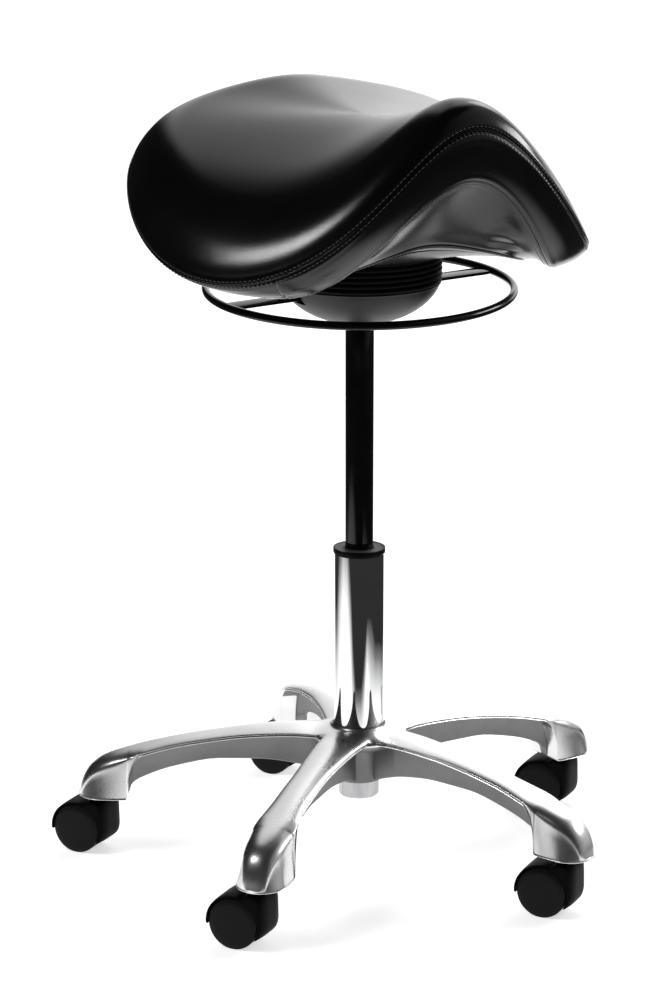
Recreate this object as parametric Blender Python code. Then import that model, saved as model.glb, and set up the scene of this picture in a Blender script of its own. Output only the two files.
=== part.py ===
# Salon saddle stool on five casters: star base, gas column with height ring,
# tilting seat mechanism under a bellows, and a padded saddle seat.
# Metres, +Z up. The front of the seat looks along -Y; +X is the sitter's left-hand side.
import math

import bmesh
import bpy
from mathutils import Matrix, Vector

# ---------------------------------------------------------------- dimensions
COL_X = -0.0115              # column axis, measured from the middle of the footprint
COL_Y = -0.0172
CLEAR = 0.0003               # gap between touching pieces

ARM_AZ = [-70.0 + 72.0 * k for k in range(5)]      # arm directions, degrees
STEM_R = 0.2585              # stem axis to column axis
TRAIL_AZ = -56.1             # direction from a wheel axle to its stem, degrees
TRAIL = 0.0215

WHEEL_R = 0.025
WHEEL_SEGS = 20
WHEEL_IN = 0.0064
WHEEL_OUT = 0.0203
AXLE_R = 0.003
AXLE_HALF = 0.0168
WEB_HALF = 0.0060
HOOD_HALF = 0.0205
HOOD_CAVITY_R = 0.0262
HOOD_TOP = 0.0585
HOOD_RIM = 0.0277
HOOD_ROUND = 0.0060
FOOT_BOTTOM = 0.061
SOCKET_R = 0.0056
SOCKET_TOP = 0.0900

TUBE_R = 0.0250
TUBE_TOP = 0.3172
TUBE_BOTTOM = 0.0655
TUBE_LOW_R = 0.0205
CYL_R = 0.0140
CYL_BOTTOM = 0.2760
CYL_TOP = 0.5700
ROD_R = 0.0050

RING_R = 0.1491
RING_ROD = 0.0040
RING_Z = 0.5823
RING_TILT_X = 0.04385        # rise per metre towards the rear
RING_TILT_Y = 0.02242        # rise per metre towards the right
LEVER_Z = 0.5815
LEVER_Y = 0.0260

PIVOT_Z = 0.5990             # both tilt axes
BOWL_A = 0.0803
BOWL_B = 0.0533
BOWL_CZ = 0.6010
BOWL_RIM = 0.5890
BELLOWS_TOP = 0.6208
PLATE_Z = 0.6175
UNDER_Z = 0.6195
UNDER_R = 0.0835
SEAT_SEGS = 40

# saddle outline series: mean, then one cosine or sine term per order
SADDLE_YC = -0.0137
SADDLE_R = [0.2097, 0.0026, -0.0209, -0.0072, -0.0056, -0.0011, -0.0021]
SADDLE_Z = [0.6860, 0.0185, 0.0562, -0.0251, 0.0064, -0.0018, 0.0027]
SADDLE_EV = [0.0393, 0.0006, 0.0056]
SADDLE_EH = [0.0520, 0.0008, -0.0036]
SADDLE_ZC = 0.7523
SADDLE_POW = 1.8202
BAND_IN = [0.0328, 0.0103, -0.0054, 0.0027, -0.0054]
BAND_DOWN = [0.0273, -0.0050, 0.0149, -0.0077, -0.0070]
BORDER_R = [0.1269, -0.0080, -0.0120, 0.0136]
BORDER_Z = [0.6320, 0.0165, 0.0264, 0.0002]
BAND_BULGE = 0.0070

# arm section along its length: distance, half width, bead edge, web bottom
ARM_S = [0.0225, 0.0450, 0.0700, 0.1050, 0.1450, 0.1850]
ARM_W = ([0.0225, 0.060, 0.10, 0.14, 0.18, 0.2176], [0.0262, 0.0225, 0.0195, 0.0172, 0.0172, 0.0200])
ARM_E = ([0.0225, 0.060, 0.10, 0.14, 0.18, 0.2176], [0.1297, 0.1309, 0.1286, 0.1233, 0.1161, 0.1066])
ARM_B = ([0.0225, 0.060, 0.10, 0.14, 0.18, 0.2150, 0.2290, 0.2320, 0.2330],
         [0.0855, 0.0969, 0.1016, 0.1012, 0.0938, 0.0814, 0.0718, 0.0625, 0.0610])
FOOT_TOP = ([0.2176, 0.2378, 0.2490, 0.2600, 0.2692, 0.2763, 0.2803, 0.2818],
            [0.1133, 0.1077, 0.1039, 0.0990, 0.0922, 0.0823, 0.0721, 0.0640])
FOOT_LOW = ([0.2176, 0.2202, 0.2257, 0.2288, 0.2307, 0.2314, 0.2321, 0.2330],
            [0.1066, 0.1050, 0.0977, 0.0893, 0.0819, 0.0740, 0.0632, 0.0610])
FOOT_S = [0.2120, 0.2176, 0.2257, 0.2307, 0.2321, 0.2330]
FOOT_W = 0.0243
FOOT_LEAN = 0.0039           # how far a foot's side walls lean in at the shoulder
CROWN = 0.0065
FOOT_DROP = 0.0120           # a foot's rounded shoulders, above its upright sides

COL = Vector((COL_X, COL_Y, 0.0))


# ---------------------------------------------------------------- helpers
def rad(a):
    return math.radians(a)


def table(xy, x):
    xs, ys = xy
    if x <= xs[0]:
        return ys[0]
    for i in range(1, len(xs)):
        if x <= xs[i]:
            t = (x - xs[i - 1]) / (xs[i] - xs[i - 1])
            return ys[i - 1] + t * (ys[i] - ys[i - 1])
    return ys[-1]


def series(c, a):
    s = c[0]
    for k in range(1, len(c)):
        if k % 2:
            s += c[k] * math.sin(k * a) * (1 if k % 4 == 1 else -1)
        else:
            s += c[k] * math.cos(k * a) * (1 if k % 4 == 0 else -1)
    return s


def material(name, rgb, rough, metal=0.0):
    m = bpy.data.materials.new(name)
    m.use_nodes = True
    p = m.node_tree.nodes["Principled BSDF"]
    p.inputs["Base Color"].default_value = (rgb[0], rgb[1], rgb[2], 1.0)
    p.inputs["Roughness"].default_value = rough
    p.inputs["Metallic"].default_value = metal
    m.diffuse_color = (rgb[0], rgb[1], rgb[2], 1.0)
    return m


def finish_mesh(me):
    bm = bmesh.new()
    bm.from_mesh(me)
    bmesh.ops.remove_doubles(bm, verts=bm.verts, dist=1e-6)
    bmesh.ops.dissolve_degenerate(bm, edges=bm.edges, dist=1e-6)
    bmesh.ops.recalc_face_normals(bm, faces=bm.faces)
    if bm.calc_volume(signed=True) < 0:
        bmesh.ops.reverse_faces(bm, faces=bm.faces)
    bm.to_mesh(me)
    bm.free()
    me.update()


def solid(name, verts, faces, mat=None, m=None):
    me = bpy.data.meshes.new(name)
    me.from_pydata([tuple(v) for v in verts], [], faces)
    if m is not None:
        me.transform(m)
    finish_mesh(me)
    ob = bpy.data.objects.new(name, me)
    bpy.context.scene.collection.objects.link(ob)
    if mat is not None:
        me.materials.append(mat)
    return ob


def revolve(name, profile, segs, closed, mat=None, m=None, phase=0.0):
    # profile points are (radius, height); a point with radius zero is a pole
    verts, rings = [], []
    for r, z in profile:
        if r < 1e-9:
            rings.append([len(verts)])
            verts.append((0.0, 0.0, z))
        else:
            base = len(verts)
            for k in range(segs):
                a = phase + 2 * math.pi * k / segs
                verts.append((r * math.cos(a), r * math.sin(a), z))
            rings.append(list(range(base, base + segs)))
    faces = []
    n = len(rings)
    for i in range(n if closed else n - 1):
        a, b = rings[i], rings[(i + 1) % n]
        if len(a) == 1 and len(b) == 1:
            continue
        for k in range(segs):
            j = (k + 1) % segs
            if len(a) == 1:
                faces.append((a[0], b[k], b[j]))
            elif len(b) == 1:
                faces.append((a[k], b[0], a[j]))
            else:
                faces.append((a[k], b[k], b[j], a[j]))
    if not closed:
        for ring in (rings[0], rings[-1]):
            if len(ring) > 1:
                faces.append(tuple(ring))
    return solid(name, verts, faces, mat, m)


def loft(name, loops, mat=None, m=None):
    n = len(loops[0])
    verts = [p for lp in loops for p in lp]
    faces = []
    for i in range(len(loops) - 1):
        for k in range(n):
            j = (k + 1) % n
            faces.append((i * n + k, i * n + j, (i + 1) * n + j, (i + 1) * n + k))
    faces.append(tuple(range(n)))
    faces.append(tuple(range((len(loops) - 1) * n, len(loops) * n)))
    return solid(name, verts, faces, mat, m)


def box(name, lo, hi, mat=None):
    x0, y0, z0 = lo
    x1, y1, z1 = hi
    a = [(x0, y0, z0), (x1, y0, z0), (x1, y1, z0), (x0, y1, z0)]
    b = [(x, y, z1) for x, y, _ in a]
    return loft(name, [a, b], mat)


def combine(target, tool, op):
    tool.hide_render = True
    tool.display_type = "WIRE"
    mod = target.modifiers.new("cut", "BOOLEAN")
    mod.operation = op
    mod.solver = "EXACT"
    mod.object = tool
    dg = bpy.context.evaluated_depsgraph_get()
    dg.update()
    me = bpy.data.meshes.new_from_object(target.evaluated_get(dg))
    target.modifiers.clear()
    old = target.data
    target.data = me
    me.name = target.name
    bpy.data.meshes.remove(old)
    finish_mesh(me)
    bpy.data.objects.remove(tool, do_unlink=True)
    return target


def cyl(r, z0, z1, segs, m=None, phase=0.0):
    return revolve("tool", [(r, z0), (r, z1)], segs, False, m=m, phase=phase)


def rename(ob, name, mat):
    ob.name = name
    ob.data.name = name
    ob.data.materials.clear()
    ob.data.materials.append(mat)
    return ob


def place(ob, origin, smooth=None):
    # moves the object's origin to a point without moving its shape
    o = Vector(origin)
    ob.data.transform(Matrix.Translation(-o))
    ob.location = o
    if smooth is not None:
        ob.data.shade_smooth()
        ob.data.set_sharp_from_angle(angle=rad(smooth))
    return ob


def shift(v):
    return Matrix.Translation(Vector(v))


def on_col(m=None):
    t = Matrix.Translation(COL)
    return t if m is None else t @ m


ALONG_X = Matrix.Rotation(rad(90), 4, "Y")
ALONG_Y = Matrix.Rotation(rad(-90), 4, "X")

# ---------------------------------------------------------------- clear scene
for old in list(bpy.data.objects):
    bpy.data.objects.remove(old, do_unlink=True)

MAT = {}


def slot_material(node, rgb, rough, metal=0.0):
    MAT[node] = material(node + "_material", rgb, rough, metal)
    return MAT[node]


# ---------------------------------------------------------------- star base
def arm_section(s):
    if s < 0.2176:
        w, ze, zb = table(ARM_W, s), table(ARM_E, s), table(ARM_B, s)
        zt = ze + CROWN
        c = CROWN - 0.0035
        ww = 0.0055
    else:
        if s <= 0.2385:
            t = (s - 0.2176) / (0.2385 - 0.2176)
            w = 0.0200 + (FOOT_W - 0.0200) * math.sin(t * math.pi / 2)
        else:
            w = FOOT_W
        if s > STEM_R:
            w = FOOT_W * math.sqrt(max(1 - ((s - STEM_R) / FOOT_W) ** 2, 0.0))
        ze, zt = table(FOOT_LOW, s), table(FOOT_TOP, s)
        zb = min(table(ARM_B, s), ze) if s < 0.2329 else ze
        ww = 0.0055 if s < 0.2329 else 0.45 * w
        room = zt - ze - 0.0030
        k = min(max((s - 0.2130) / 0.0370, 0.0), 1.0)
        k = k * k * (3.0 - 2.0 * k)
        c = min(0.0030 + (FOOT_DROP - 0.0030) * k, max(room, 0.0030), 0.9 * (zt - ze))
    lean = FOOT_LEAN * k * min(w / 0.01, (zt - c - ze) / 0.0200, 1.0) if s >= 0.2176 else 0.0
    wt = w - lean
    half = [(0.0, zt), (0.40 * wt, zt - 0.065 * c), (0.70 * wt, zt - 0.25 * c), (0.90 * wt, zt - 0.52 * c),
            (wt, zt - c), (w, ze)]
    half += [(ww, ze), (ww, zb), (0.0, zb)] if zb < ze - 1e-5 else [(ww, ze), (0.5 * ww, ze), (0.0, ze)]
    left = [(-y, z) for y, z in half[1:-1]]
    return half + left[::-1]


def star_arm(az):
    stations = list(ARM_S) + FOOT_S + [0.2490, STEM_R]
    for a in (34, 58, 77):
        stations.append(STEM_R + FOOT_W * math.sin(rad(a)))
    loops = [[(s, y, z) for y, z in arm_section(s)] for s in stations]
    return loft("arm", loops, m=on_col(Matrix.Rotation(rad(az), 4, "Z")))


hub_profile = [(0.0, 0.0840), (0.0245, 0.0840), (0.0245, 0.1180), (0.0400, 0.1220), (0.0475, 0.1280),
               (0.0475, 0.1325), (0.0400, 0.1365), (0.0300, 0.1395), (0.0266, 0.1425), (0.0, 0.1425)]
base = revolve("hub", hub_profile, 24, False, m=on_col())
for az in ARM_AZ:
    combine(base, star_arm(az), "UNION")
bore = [(0.0, 0.0700), (TUBE_LOW_R + CLEAR + 0.0001, 0.0700), (TUBE_LOW_R + CLEAR + 0.0001, 0.0840),
        (0.0249 + CLEAR + 0.0001, 0.1405), (0.0249 + CLEAR + 0.0002, 0.1600), (0.0, 0.1600)]
combine(base, revolve("tool", bore, 24, False, m=on_col()), "DIFFERENCE")
for az in ARM_AZ:
    p = (COL_X + STEM_R * math.cos(rad(az)), COL_Y + STEM_R * math.sin(rad(az)), 0.0)
    combine(base, cyl(SOCKET_R, 0.0500, SOCKET_TOP, 14, m=shift(p)), "DIFFERENCE")
rename(base, "star_base", slot_material("star_base", (0.78, 0.79, 0.80), 0.22, 1.0))
place(base, COL, 32)

# ---------------------------------------------------------------- column
tube_profile = [(0.0065, TUBE_BOTTOM), (0.0190, TUBE_BOTTOM), (TUBE_LOW_R, 0.0670), (TUBE_LOW_R, 0.0840),
                (0.0249, 0.1405), (TUBE_R, 0.1450), (TUBE_R, TUBE_TOP), (0.0235, TUBE_TOP), (0.0234, 0.1405),
                (0.0190, 0.0840), (0.0190, 0.0685), (0.0065, 0.0685)]
tube = revolve("outer_tube", tube_profile, 24, True, slot_material("outer_tube", (0.80, 0.81, 0.83), 0.07, 1.0),
               on_col())
place(tube, COL, 30)

bush = revolve("guide_bush", [(0.0143, 0.2620), (0.0231, 0.2620), (0.0231, 0.3175), (0.0258, 0.3175),
                              (0.0258, 0.3219), (0.0249, 0.3228), (0.0143, 0.3228)], 24, True,
               slot_material("guide_bush", (0.02, 0.02, 0.02), 0.5), on_col())
place(bush, COL, 30)

bearing = revolve("thrust_bearing", [(0.0062, 0.0690), (0.0160, 0.0690), (0.0166, 0.0714), (0.0160, 0.0738),
                                     (0.0062, 0.0738)], 20, True,
                  slot_material("thrust_bearing", (0.62, 0.62, 0.63), 0.3, 1.0), on_col())
place(bearing, COL, 30)
washer = revolve("thrust_washer", [(0.0056, 0.0741), (0.0160, 0.0741), (0.0160, 0.0752), (0.0056, 0.0752)], 20,
                 True, slot_material("thrust_washer", (0.66, 0.66, 0.67), 0.25, 1.0), on_col())
place(washer, COL, 30)
stop = revolve("bump_stop", [(0.0056, 0.0775), (0.0125, 0.0775), (0.0125, 0.0810), (0.0105, 0.0835),
                             (0.0056, 0.0835)], 20, True,
               slot_material("bump_stop", (0.03, 0.03, 0.03), 0.8), on_col())
place(stop, COL, 30)
clip = revolve("retaining_clip", [(0.0044, 0.0636), (0.0085, 0.0636), (0.0085, 0.0648), (0.0044, 0.0648)], 20,
               True, slot_material("retaining_clip", (0.30, 0.30, 0.31), 0.4, 1.0), on_col())
place(clip, COL, 30)
rod = revolve("piston_rod", [(ROD_R, 0.0615), (ROD_R, 0.0632), (0.0040, 0.0632), (0.0040, 0.0652),
                             (ROD_R, 0.0652), (ROD_R, 0.0755), (0.0080, 0.0755), (0.0080, 0.0772),
                             (ROD_R, 0.0772), (ROD_R, 0.3060)], 20, False,
              slot_material("piston_rod", (0.75, 0.75, 0.76), 0.12, 1.0), on_col())
place(rod, COL, 30)
piston = revolve("piston", [(0.0054, 0.2900), (0.0121, 0.2900), (0.0121, 0.3050), (0.0054, 0.3050)], 20, True,
                 slot_material("piston", (0.55, 0.50, 0.40), 0.35, 1.0), on_col())
place(piston, COL, 30)
gland = revolve("cylinder_gland", [(0.0054, 0.2772), (0.0120, 0.2772), (0.0120, 0.2885), (0.0054, 0.2885)], 20,
                True, slot_material("cylinder_gland", (0.05, 0.05, 0.05), 0.6), on_col())
place(gland, COL, 30)
gas = revolve("gas_cylinder", [(0.0, 0.5000), (0.0125, 0.5000), (0.0125, CYL_BOTTOM), (CYL_R, CYL_BOTTOM),
                               (CYL_R, CYL_TOP), (0.0034, CYL_TOP), (0.0034, 0.5330), (0.0, 0.5330)], 24, False,
              slot_material("gas_cylinder", (0.015, 0.015, 0.016), 0.35), on_col())
place(gas, COL, 30)
pin = revolve("release_pin", [(0.0, 0.5370), (0.0029, 0.5370), (0.0029, 0.5785), (0.0014, 0.5797),
                              (0.0, 0.5797)], 12, False,
              slot_material("release_pin", (0.70, 0.70, 0.71), 0.25, 1.0), on_col())
place(pin, COL, 30)

# ---------------------------------------------------------------- bowl, bellows
outer, inner = [], []
for t in (12.3, 24.0, 36.0, 48.0, 60.0, 77.0):
    outer.append((BOWL_A * math.sin(rad(t)), BOWL_CZ - BOWL_B * math.cos(rad(t))))
for t in (76.35, 60.0, 44.0, 28.0, 14.5):
    inner.append(((BOWL_A - 0.0025) * math.sin(rad(t)), BOWL_CZ - (BOWL_B - 0.0025) * math.cos(rad(t))))
boss = [(inner[-1][0], 0.5717), (outer[0][0], 0.5717)]
bowl = revolve("bowl_housing", outer + inner + boss, 32, True, m=on_col())
for sx in (-1, 1):
    lo, hi = sorted((sx * 0.060, sx * 0.090))
    combine(bowl, box("tool", (COL_X + lo, COL_Y - 0.0125, 0.5737), (COL_X + hi, COL_Y + 0.0125, 0.5857)),
            "DIFFERENCE")
rename(bowl, "bowl_housing", slot_material("bowl_housing", (0.012, 0.012, 0.013), 0.3))
place(bowl, COL, 35)

PLEATS = 6
z0, z1 = BOWL_RIM + CLEAR, BELLOWS_TOP
wall = [(0.0756, z0)]
for i in range(2 * PLEATS + 1):
    wall.append((0.0778 if i % 2 == 0 else 0.0797, z0 + (z1 - z0) * i / (2 * PLEATS)))
wall.append((0.0756, z1))
bellows = revolve("bellows", wall, 28, True, slot_material("bellows", (0.02, 0.02, 0.02), 0.7), on_col())
place(bellows, COL + Vector((0, 0, PIVOT_Z)), 25)

# ---------------------------------------------------------------- lower bracket
bracket = revolve("bracket", [(0.0146, 0.5490), (0.0163, 0.5490), (0.0163, 0.5720), (0.0480, 0.5720),
                              (0.0480, 0.5745), (0.0060, 0.5745), (0.0060, 0.5705), (0.0146, 0.5705)], 28, True,
                  m=on_col())
for sx in (-1, 1):
    lo, hi = sorted((sx * 0.0140, sx * 0.0170))
    combine(bracket, box("tool", (COL_X + lo, COL_Y + 0.0190, 0.5730), (COL_X + hi, COL_Y + 0.0330, 0.5870)),
            "UNION")
for sy in (-1, 1):
    lo, hi = sorted((sy * 0.0340, sy * 0.0380))
    ear = [(-0.0115, 0.5730), (0.0115, 0.5730), (0.0115, 0.5990), (0.0092, 0.6060), (0.0045, 0.6086),
           (-0.0045, 0.6086), (-0.0092, 0.6060), (-0.0115, 0.5990)]
    a = [(COL_X + x, COL_Y + lo, z) for x, z in ear]
    b = [(COL_X + x, COL_Y + hi, z) for x, z in ear]
    combine(bracket, loft("tool", [a, b]), "UNION")
combine(bracket, cyl(0.0034, -0.03, 0.03, 12, m=shift((COL_X, COL_Y + LEVER_Y, LEVER_Z)) @ ALONG_X), "DIFFERENCE")
combine(bracket, cyl(0.0078, -0.05, 0.05, 16, m=shift((COL_X, COL_Y, PIVOT_Z)) @ ALONG_Y), "DIFFERENCE")
rename(bracket, "lower_bracket", slot_material("lower_bracket", (0.10, 0.10, 0.11), 0.45, 0.6))
place(bracket, COL, 30)

# ---------------------------------------------------------------- height ring
tilt = Matrix.Identity(4)
tilt[2][0] = RING_TILT_Y
tilt[2][1] = RING_TILT_X


def ring_plane(z):
    return on_col(shift((0, 0, z)) @ tilt)


verts, faces = [], []
NR, NS = 44, 8
for i in range(NR):
    a = 2 * math.pi * (i + 0.5) / NR
    for k in range(NS):
        b = 2 * math.pi * (k + 0.5) / NS
        r = RING_R + RING_ROD * math.cos(b)
        verts.append((r * math.cos(a), r * math.sin(a), RING_ROD * math.sin(b)))
for i in range(NR):
    for k in range(NS):
        faces.append((i * NS + k, ((i + 1) % NR) * NS + k, ((i + 1) % NR) * NS + (k + 1) % NS, i * NS + (k + 1) % NS))
ring = solid("ring", verts, faces, m=ring_plane(RING_Z))
bar_out = [(-0.1495, -0.0045), (-0.1465, -0.0085), (-0.1420, -0.0100), (0.1420, -0.0100), (0.1465, -0.0085),
           (0.1495, -0.0045), (0.1495, 0.0045), (0.1465, 0.0085), (0.1420, 0.0100), (0.0135, 0.0100),
           (0.0135, 0.0250), (-0.0135, 0.0250), (-0.0135, 0.0100), (-0.1420, 0.0100), (-0.1465, 0.0085),
           (-0.1495, 0.0045)]
bar = loft("tool", [[(x, y, -0.0015) for x, y in bar_out], [(x, y, 0.0015) for x, y in bar_out]],
           m=ring_plane(LEVER_Z))
combine(ring, bar, "UNION")
axis_m = shift((COL_X, COL_Y + LEVER_Y, LEVER_Z)) @ ALONG_X
combine(ring, cyl(0.0052, -0.0135, 0.0135, 12, m=axis_m), "UNION")
combine(ring, cyl(0.0034, -0.03, 0.03, 12, m=axis_m), "DIFFERENCE")
rename(ring, "height_ring", slot_material("height_ring", (0.02, 0.02, 0.02), 0.35, 0.3))
place(ring, COL + Vector((0, LEVER_Y, LEVER_Z)), 35)

pivot = revolve("ring_pivot_pin", [(0.0045, -0.0190), (0.0045, -0.0173), (0.0030, -0.0173), (0.0030, 0.0173),
                                   (0.0042, 0.0173), (0.0042, 0.0188)], 12, False,
                slot_material("ring_pivot_pin", (0.60, 0.60, 0.61), 0.3, 1.0), axis_m)
place(pivot, COL + Vector((0, LEVER_Y, LEVER_Z)), 30)

# ---------------------------------------------------------------- tilt mechanism
cross = box("cross", (COL_X - 0.013, COL_Y - 0.013, PIVOT_Z - 0.007), (COL_X + 0.013, COL_Y + 0.013, PIVOT_Z + 0.007))
shaft = [(0.0050, -0.0405), (0.0050, -0.0310), (0.0068, -0.0310), (0.0068, 0.0310), (0.0050, 0.0310),
         (0.0050, 0.0405)]
for turn in (ALONG_X, ALONG_Y):
    combine(cross, revolve("tool", shaft, 16, False, m=shift((COL_X, COL_Y, PIVOT_Z)) @ turn), "UNION")
rename(cross, "tilt_cross", slot_material("tilt_cross", (0.45, 0.45, 0.46), 0.35, 1.0))
place(cross, COL + Vector((0, 0, PIVOT_Z)), 30)

for name, turn, side in (("bush_front", ALONG_Y, -1), ("bush_rear", ALONG_Y, 1),
                         ("bush_left", ALONG_X, -1), ("bush_right", ALONG_X, 1)):
    lo, hi = sorted((side * 0.0335, side * 0.0385))
    b = revolve(name, [(0.00535, lo), (0.0074, lo), (0.0074, hi), (0.00535, hi)], 16, True,
                slot_material(name, (0.03, 0.03, 0.03), 0.8), shift((COL_X, COL_Y, PIVOT_Z)) @ turn)
    place(b, COL + Vector((0, 0, PIVOT_Z)), 30)

plate = revolve("plate", [(0.0720, PLATE_Z), (0.0720, PLATE_Z + 0.0035)], 32, False, m=on_col())
for sx in (-1, 1):
    lo, hi = sorted((sx * 0.0340, sx * 0.0380))
    ear = [(-0.0115, PLATE_Z + 0.0010), (-0.0115, 0.5990), (-0.0092, 0.5924), (-0.0045, 0.5896), (0.0045, 0.5896),
           (0.0092, 0.5924), (0.0115, 0.5990), (0.0115, PLATE_Z + 0.0010)]
    a = [(COL_X + lo, COL_Y + y, z) for y, z in ear]
    b = [(COL_X + hi, COL_Y + y, z) for y, z in ear]
    combine(plate, loft("tool", [a, b]), "UNION")
combine(plate, cyl(0.0078, -0.05, 0.05, 16, m=shift((COL_X, COL_Y, PIVOT_Z)) @ ALONG_X), "DIFFERENCE")
BOLT = 0.0410
for sx in (-1, 1):
    for sy in (-1, 1):
        combine(plate, cyl(0.0034, 0.60, 0.63, 10, m=on_col(shift((sx * BOLT, sy * BOLT, 0)))), "DIFFERENCE")
rename(plate, "seat_plate", slot_material("seat_plate", (0.12, 0.12, 0.13), 0.45, 0.6))
place(plate, COL + Vector((0, 0, PIVOT_Z)), 30)


# ---------------------------------------------------------------- seat
def under_nodes(a, outer_trim):
    # distance and height of the underside at four stations for one direction
    dx, dy = math.cos(a), math.sin(a)
    rb, zb = series(BORDER_R, a), series(BORDER_Z, a)
    bx, by = rb * dx, SADDLE_YC + rb * dy
    out = []
    for r in (0.0745, UNDER_R):
        out.append((r * dx, r * dy, UNDER_Z))
    sx, sy = UNDER_R * dx, UNDER_R * dy
    k_last = 1.0 - 0.0080 / math.hypot(bx - sx, by - sy)
    us = []
    for f in (0.4, 0.72, 1.0):
        t = f * k_last
        us.append((sx + (bx - sx) * t, sy + (by - sy) * t, UNDER_Z + (zb - UNDER_Z) * t ** 1.4))
    if outer_trim:
        d = math.hypot(us[2][0] - us[1][0], us[2][1] - us[1][1])
        q = 1.0 - outer_trim / d
        us[2] = tuple(us[1][i] + (us[2][i] - us[1][i]) * q for i in range(3))
    return out + us


def seat_top(a, rho):
    r, z = series(SADDLE_R, a), series(SADDLE_Z, a)
    ev, eh = series(SADDLE_EV, a), series(SADDLE_EH, a)
    u = min(max((rho - (1 - eh / r)) / (eh / r), 0.0), 1.0)
    h = SADDLE_ZC + (z + ev - SADDLE_ZC) * rho ** SADDLE_POW - ev * (1 - math.sqrt(1 - u * u))
    return (r * rho * math.cos(a), SADDLE_YC + r * rho * math.sin(a), h)


def split_quad(a, b, ia, ib, k, j):
    # two triangles; the diagonal always joins the outer point k to the inner point j
    if math.hypot(a[k][0], a[k][1]) >= math.hypot(b[k][0], b[k][1]):
        return [(ia + k, ib + k, ib + j), (ia + k, ib + j, ia + j)]
    return [(ia + k, ib + k, ia + j), (ib + k, ib + j, ia + j)]


def grid_solid(name, start, rows, end, mat):
    # start and end are single points, rows are loops of SEAT_SEGS points between them
    verts = [start] + [p for row in rows for p in row] + [end]
    n, faces = SEAT_SEGS, []
    last = len(verts) - 1
    for k in range(n):
        j = (k + 1) % n
        faces.append((0, 1 + k, 1 + j))
        for i in range(len(rows) - 1):
            faces += split_quad(rows[i], rows[i + 1], 1 + i * n, 1 + (i + 1) * n, k, j)
        faces.append((last, 1 + (len(rows) - 1) * n + j, 1 + (len(rows) - 1) * n + k))
    return solid(name, verts, faces, mat, on_col())


def lift(p, dz):
    return (p[0], p[1], p[2] + dz)


ANG = [2 * math.pi * k / SEAT_SEGS for k in range(SEAT_SEGS)]
rows = []
for t in (0.14, 0.28, 0.42, 0.55, 0.68, 0.79, 0.88, 0.95, 1.0):
    rows.append([seat_top(a, 1 - (1 - t) ** 1.6) for a in ANG])
mid, low, border = [], [], []
for a in ANG:
    r, z = series(SADDLE_R, a), series(SADDLE_Z, a)
    bi, bh = series(BAND_IN, a), series(BAND_DOWN, a)
    ca, sa = math.cos(a), math.sin(a)
    nb = math.hypot(bi, bh)
    g = BAND_BULGE * min(nb / 0.045, 1.0)
    mid.append(((r - bi / 2 + g * bh / nb) * ca, SADDLE_YC + (r - bi / 2 + g * bh / nb) * sa, z - bh / 2 - g * bi / nb))
    low.append(((r - bi) * ca, SADDLE_YC + (r - bi) * sa, z - bh))
    border.append((series(BORDER_R, a) * ca, SADDLE_YC + series(BORDER_R, a) * sa, series(BORDER_Z, a)))
rows += [mid, low, border]
POCKET = 0.0123
under = [under_nodes(a, 0.0) for a in ANG]
rows.append([u[4] for u in under])
for i in (4, 3, 2, 1, 0):
    rows.append([lift(u[i], POCKET) for u in under])
cushion = grid_solid("seat_cushion", (0.0, SADDLE_YC, SADDLE_ZC), rows, (0.0, 0.0, UNDER_Z + POCKET),
                     slot_material("seat_cushion", (0.02, 0.02, 0.022), 0.35))
place(cushion, COL + Vector((0, 0, PIVOT_Z)), 40)

trim = [under_nodes(a, 0.0006) for a in ANG]
rows = [[lift(u[i], POCKET - 0.0005) for u in trim] for i in (0, 1, 2, 3, 4)]
rows += [[lift(u[i], 0.0018) for u in trim] for i in (4, 3, 2, 1, 0)]
shell = grid_solid("shell", (0.0, 0.0, UNDER_Z + POCKET - 0.0005), rows, (0.0, 0.0, UNDER_Z + 0.0018), None)
for sx in (-1, 1):
    for sy in (-1, 1):
        combine(shell, cyl(0.0034, 0.60, 0.64, 10, m=on_col(shift((sx * BOLT, sy * BOLT, 0)))), "DIFFERENCE")
rename(shell, "seat_shell", slot_material("seat_shell", (0.45, 0.32, 0.20), 0.6))
place(shell, COL + Vector((0, 0, PIVOT_Z)), 40)

verts, faces = [], []
loops = [[lift(u[i], 0.0) for u in trim] for i in (1, 2, 3, 4)] + [[lift(u[i], 0.0014) for u in trim] for i in (4, 3, 2, 1)]
n = SEAT_SEGS
for lp in loops:
    verts += lp
for i in range(len(loops)):
    i2 = (i + 1) % len(loops)
    for k in range(n):
        j = (k + 1) % n
        faces += split_quad(loops[i], loops[i2], i * n, i2 * n, k, j)
cover = solid("underside_cover", verts, faces, slot_material("underside_cover", (0.10, 0.10, 0.11), 0.6), on_col())
place(cover, COL + Vector((0, 0, PIVOT_Z)), 40)

for name, sx, sy in (("seat_bolt_1", 1, 1), ("seat_bolt_2", -1, 1), ("seat_bolt_3", -1, -1), ("seat_bolt_4", 1, -1)):
    m = on_col(shift((sx * BOLT, sy * BOLT, 0)))
    b = revolve(name, [(0.0055, PLATE_Z - 0.0043), (0.0055, PLATE_Z - 0.0003)], 6, False, m=m)
    combine(b, revolve("tool", [(0.0029, PLATE_Z - 0.0020), (0.0029, PLATE_Z + 0.0130)], 10, False, m=m), "UNION")
    rename(b, name, slot_material(name, (0.30, 0.30, 0.31), 0.35, 1.0))
    place(b, COL + Vector((sx * BOLT, sy * BOLT, PIVOT_Z)), 30)

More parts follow.
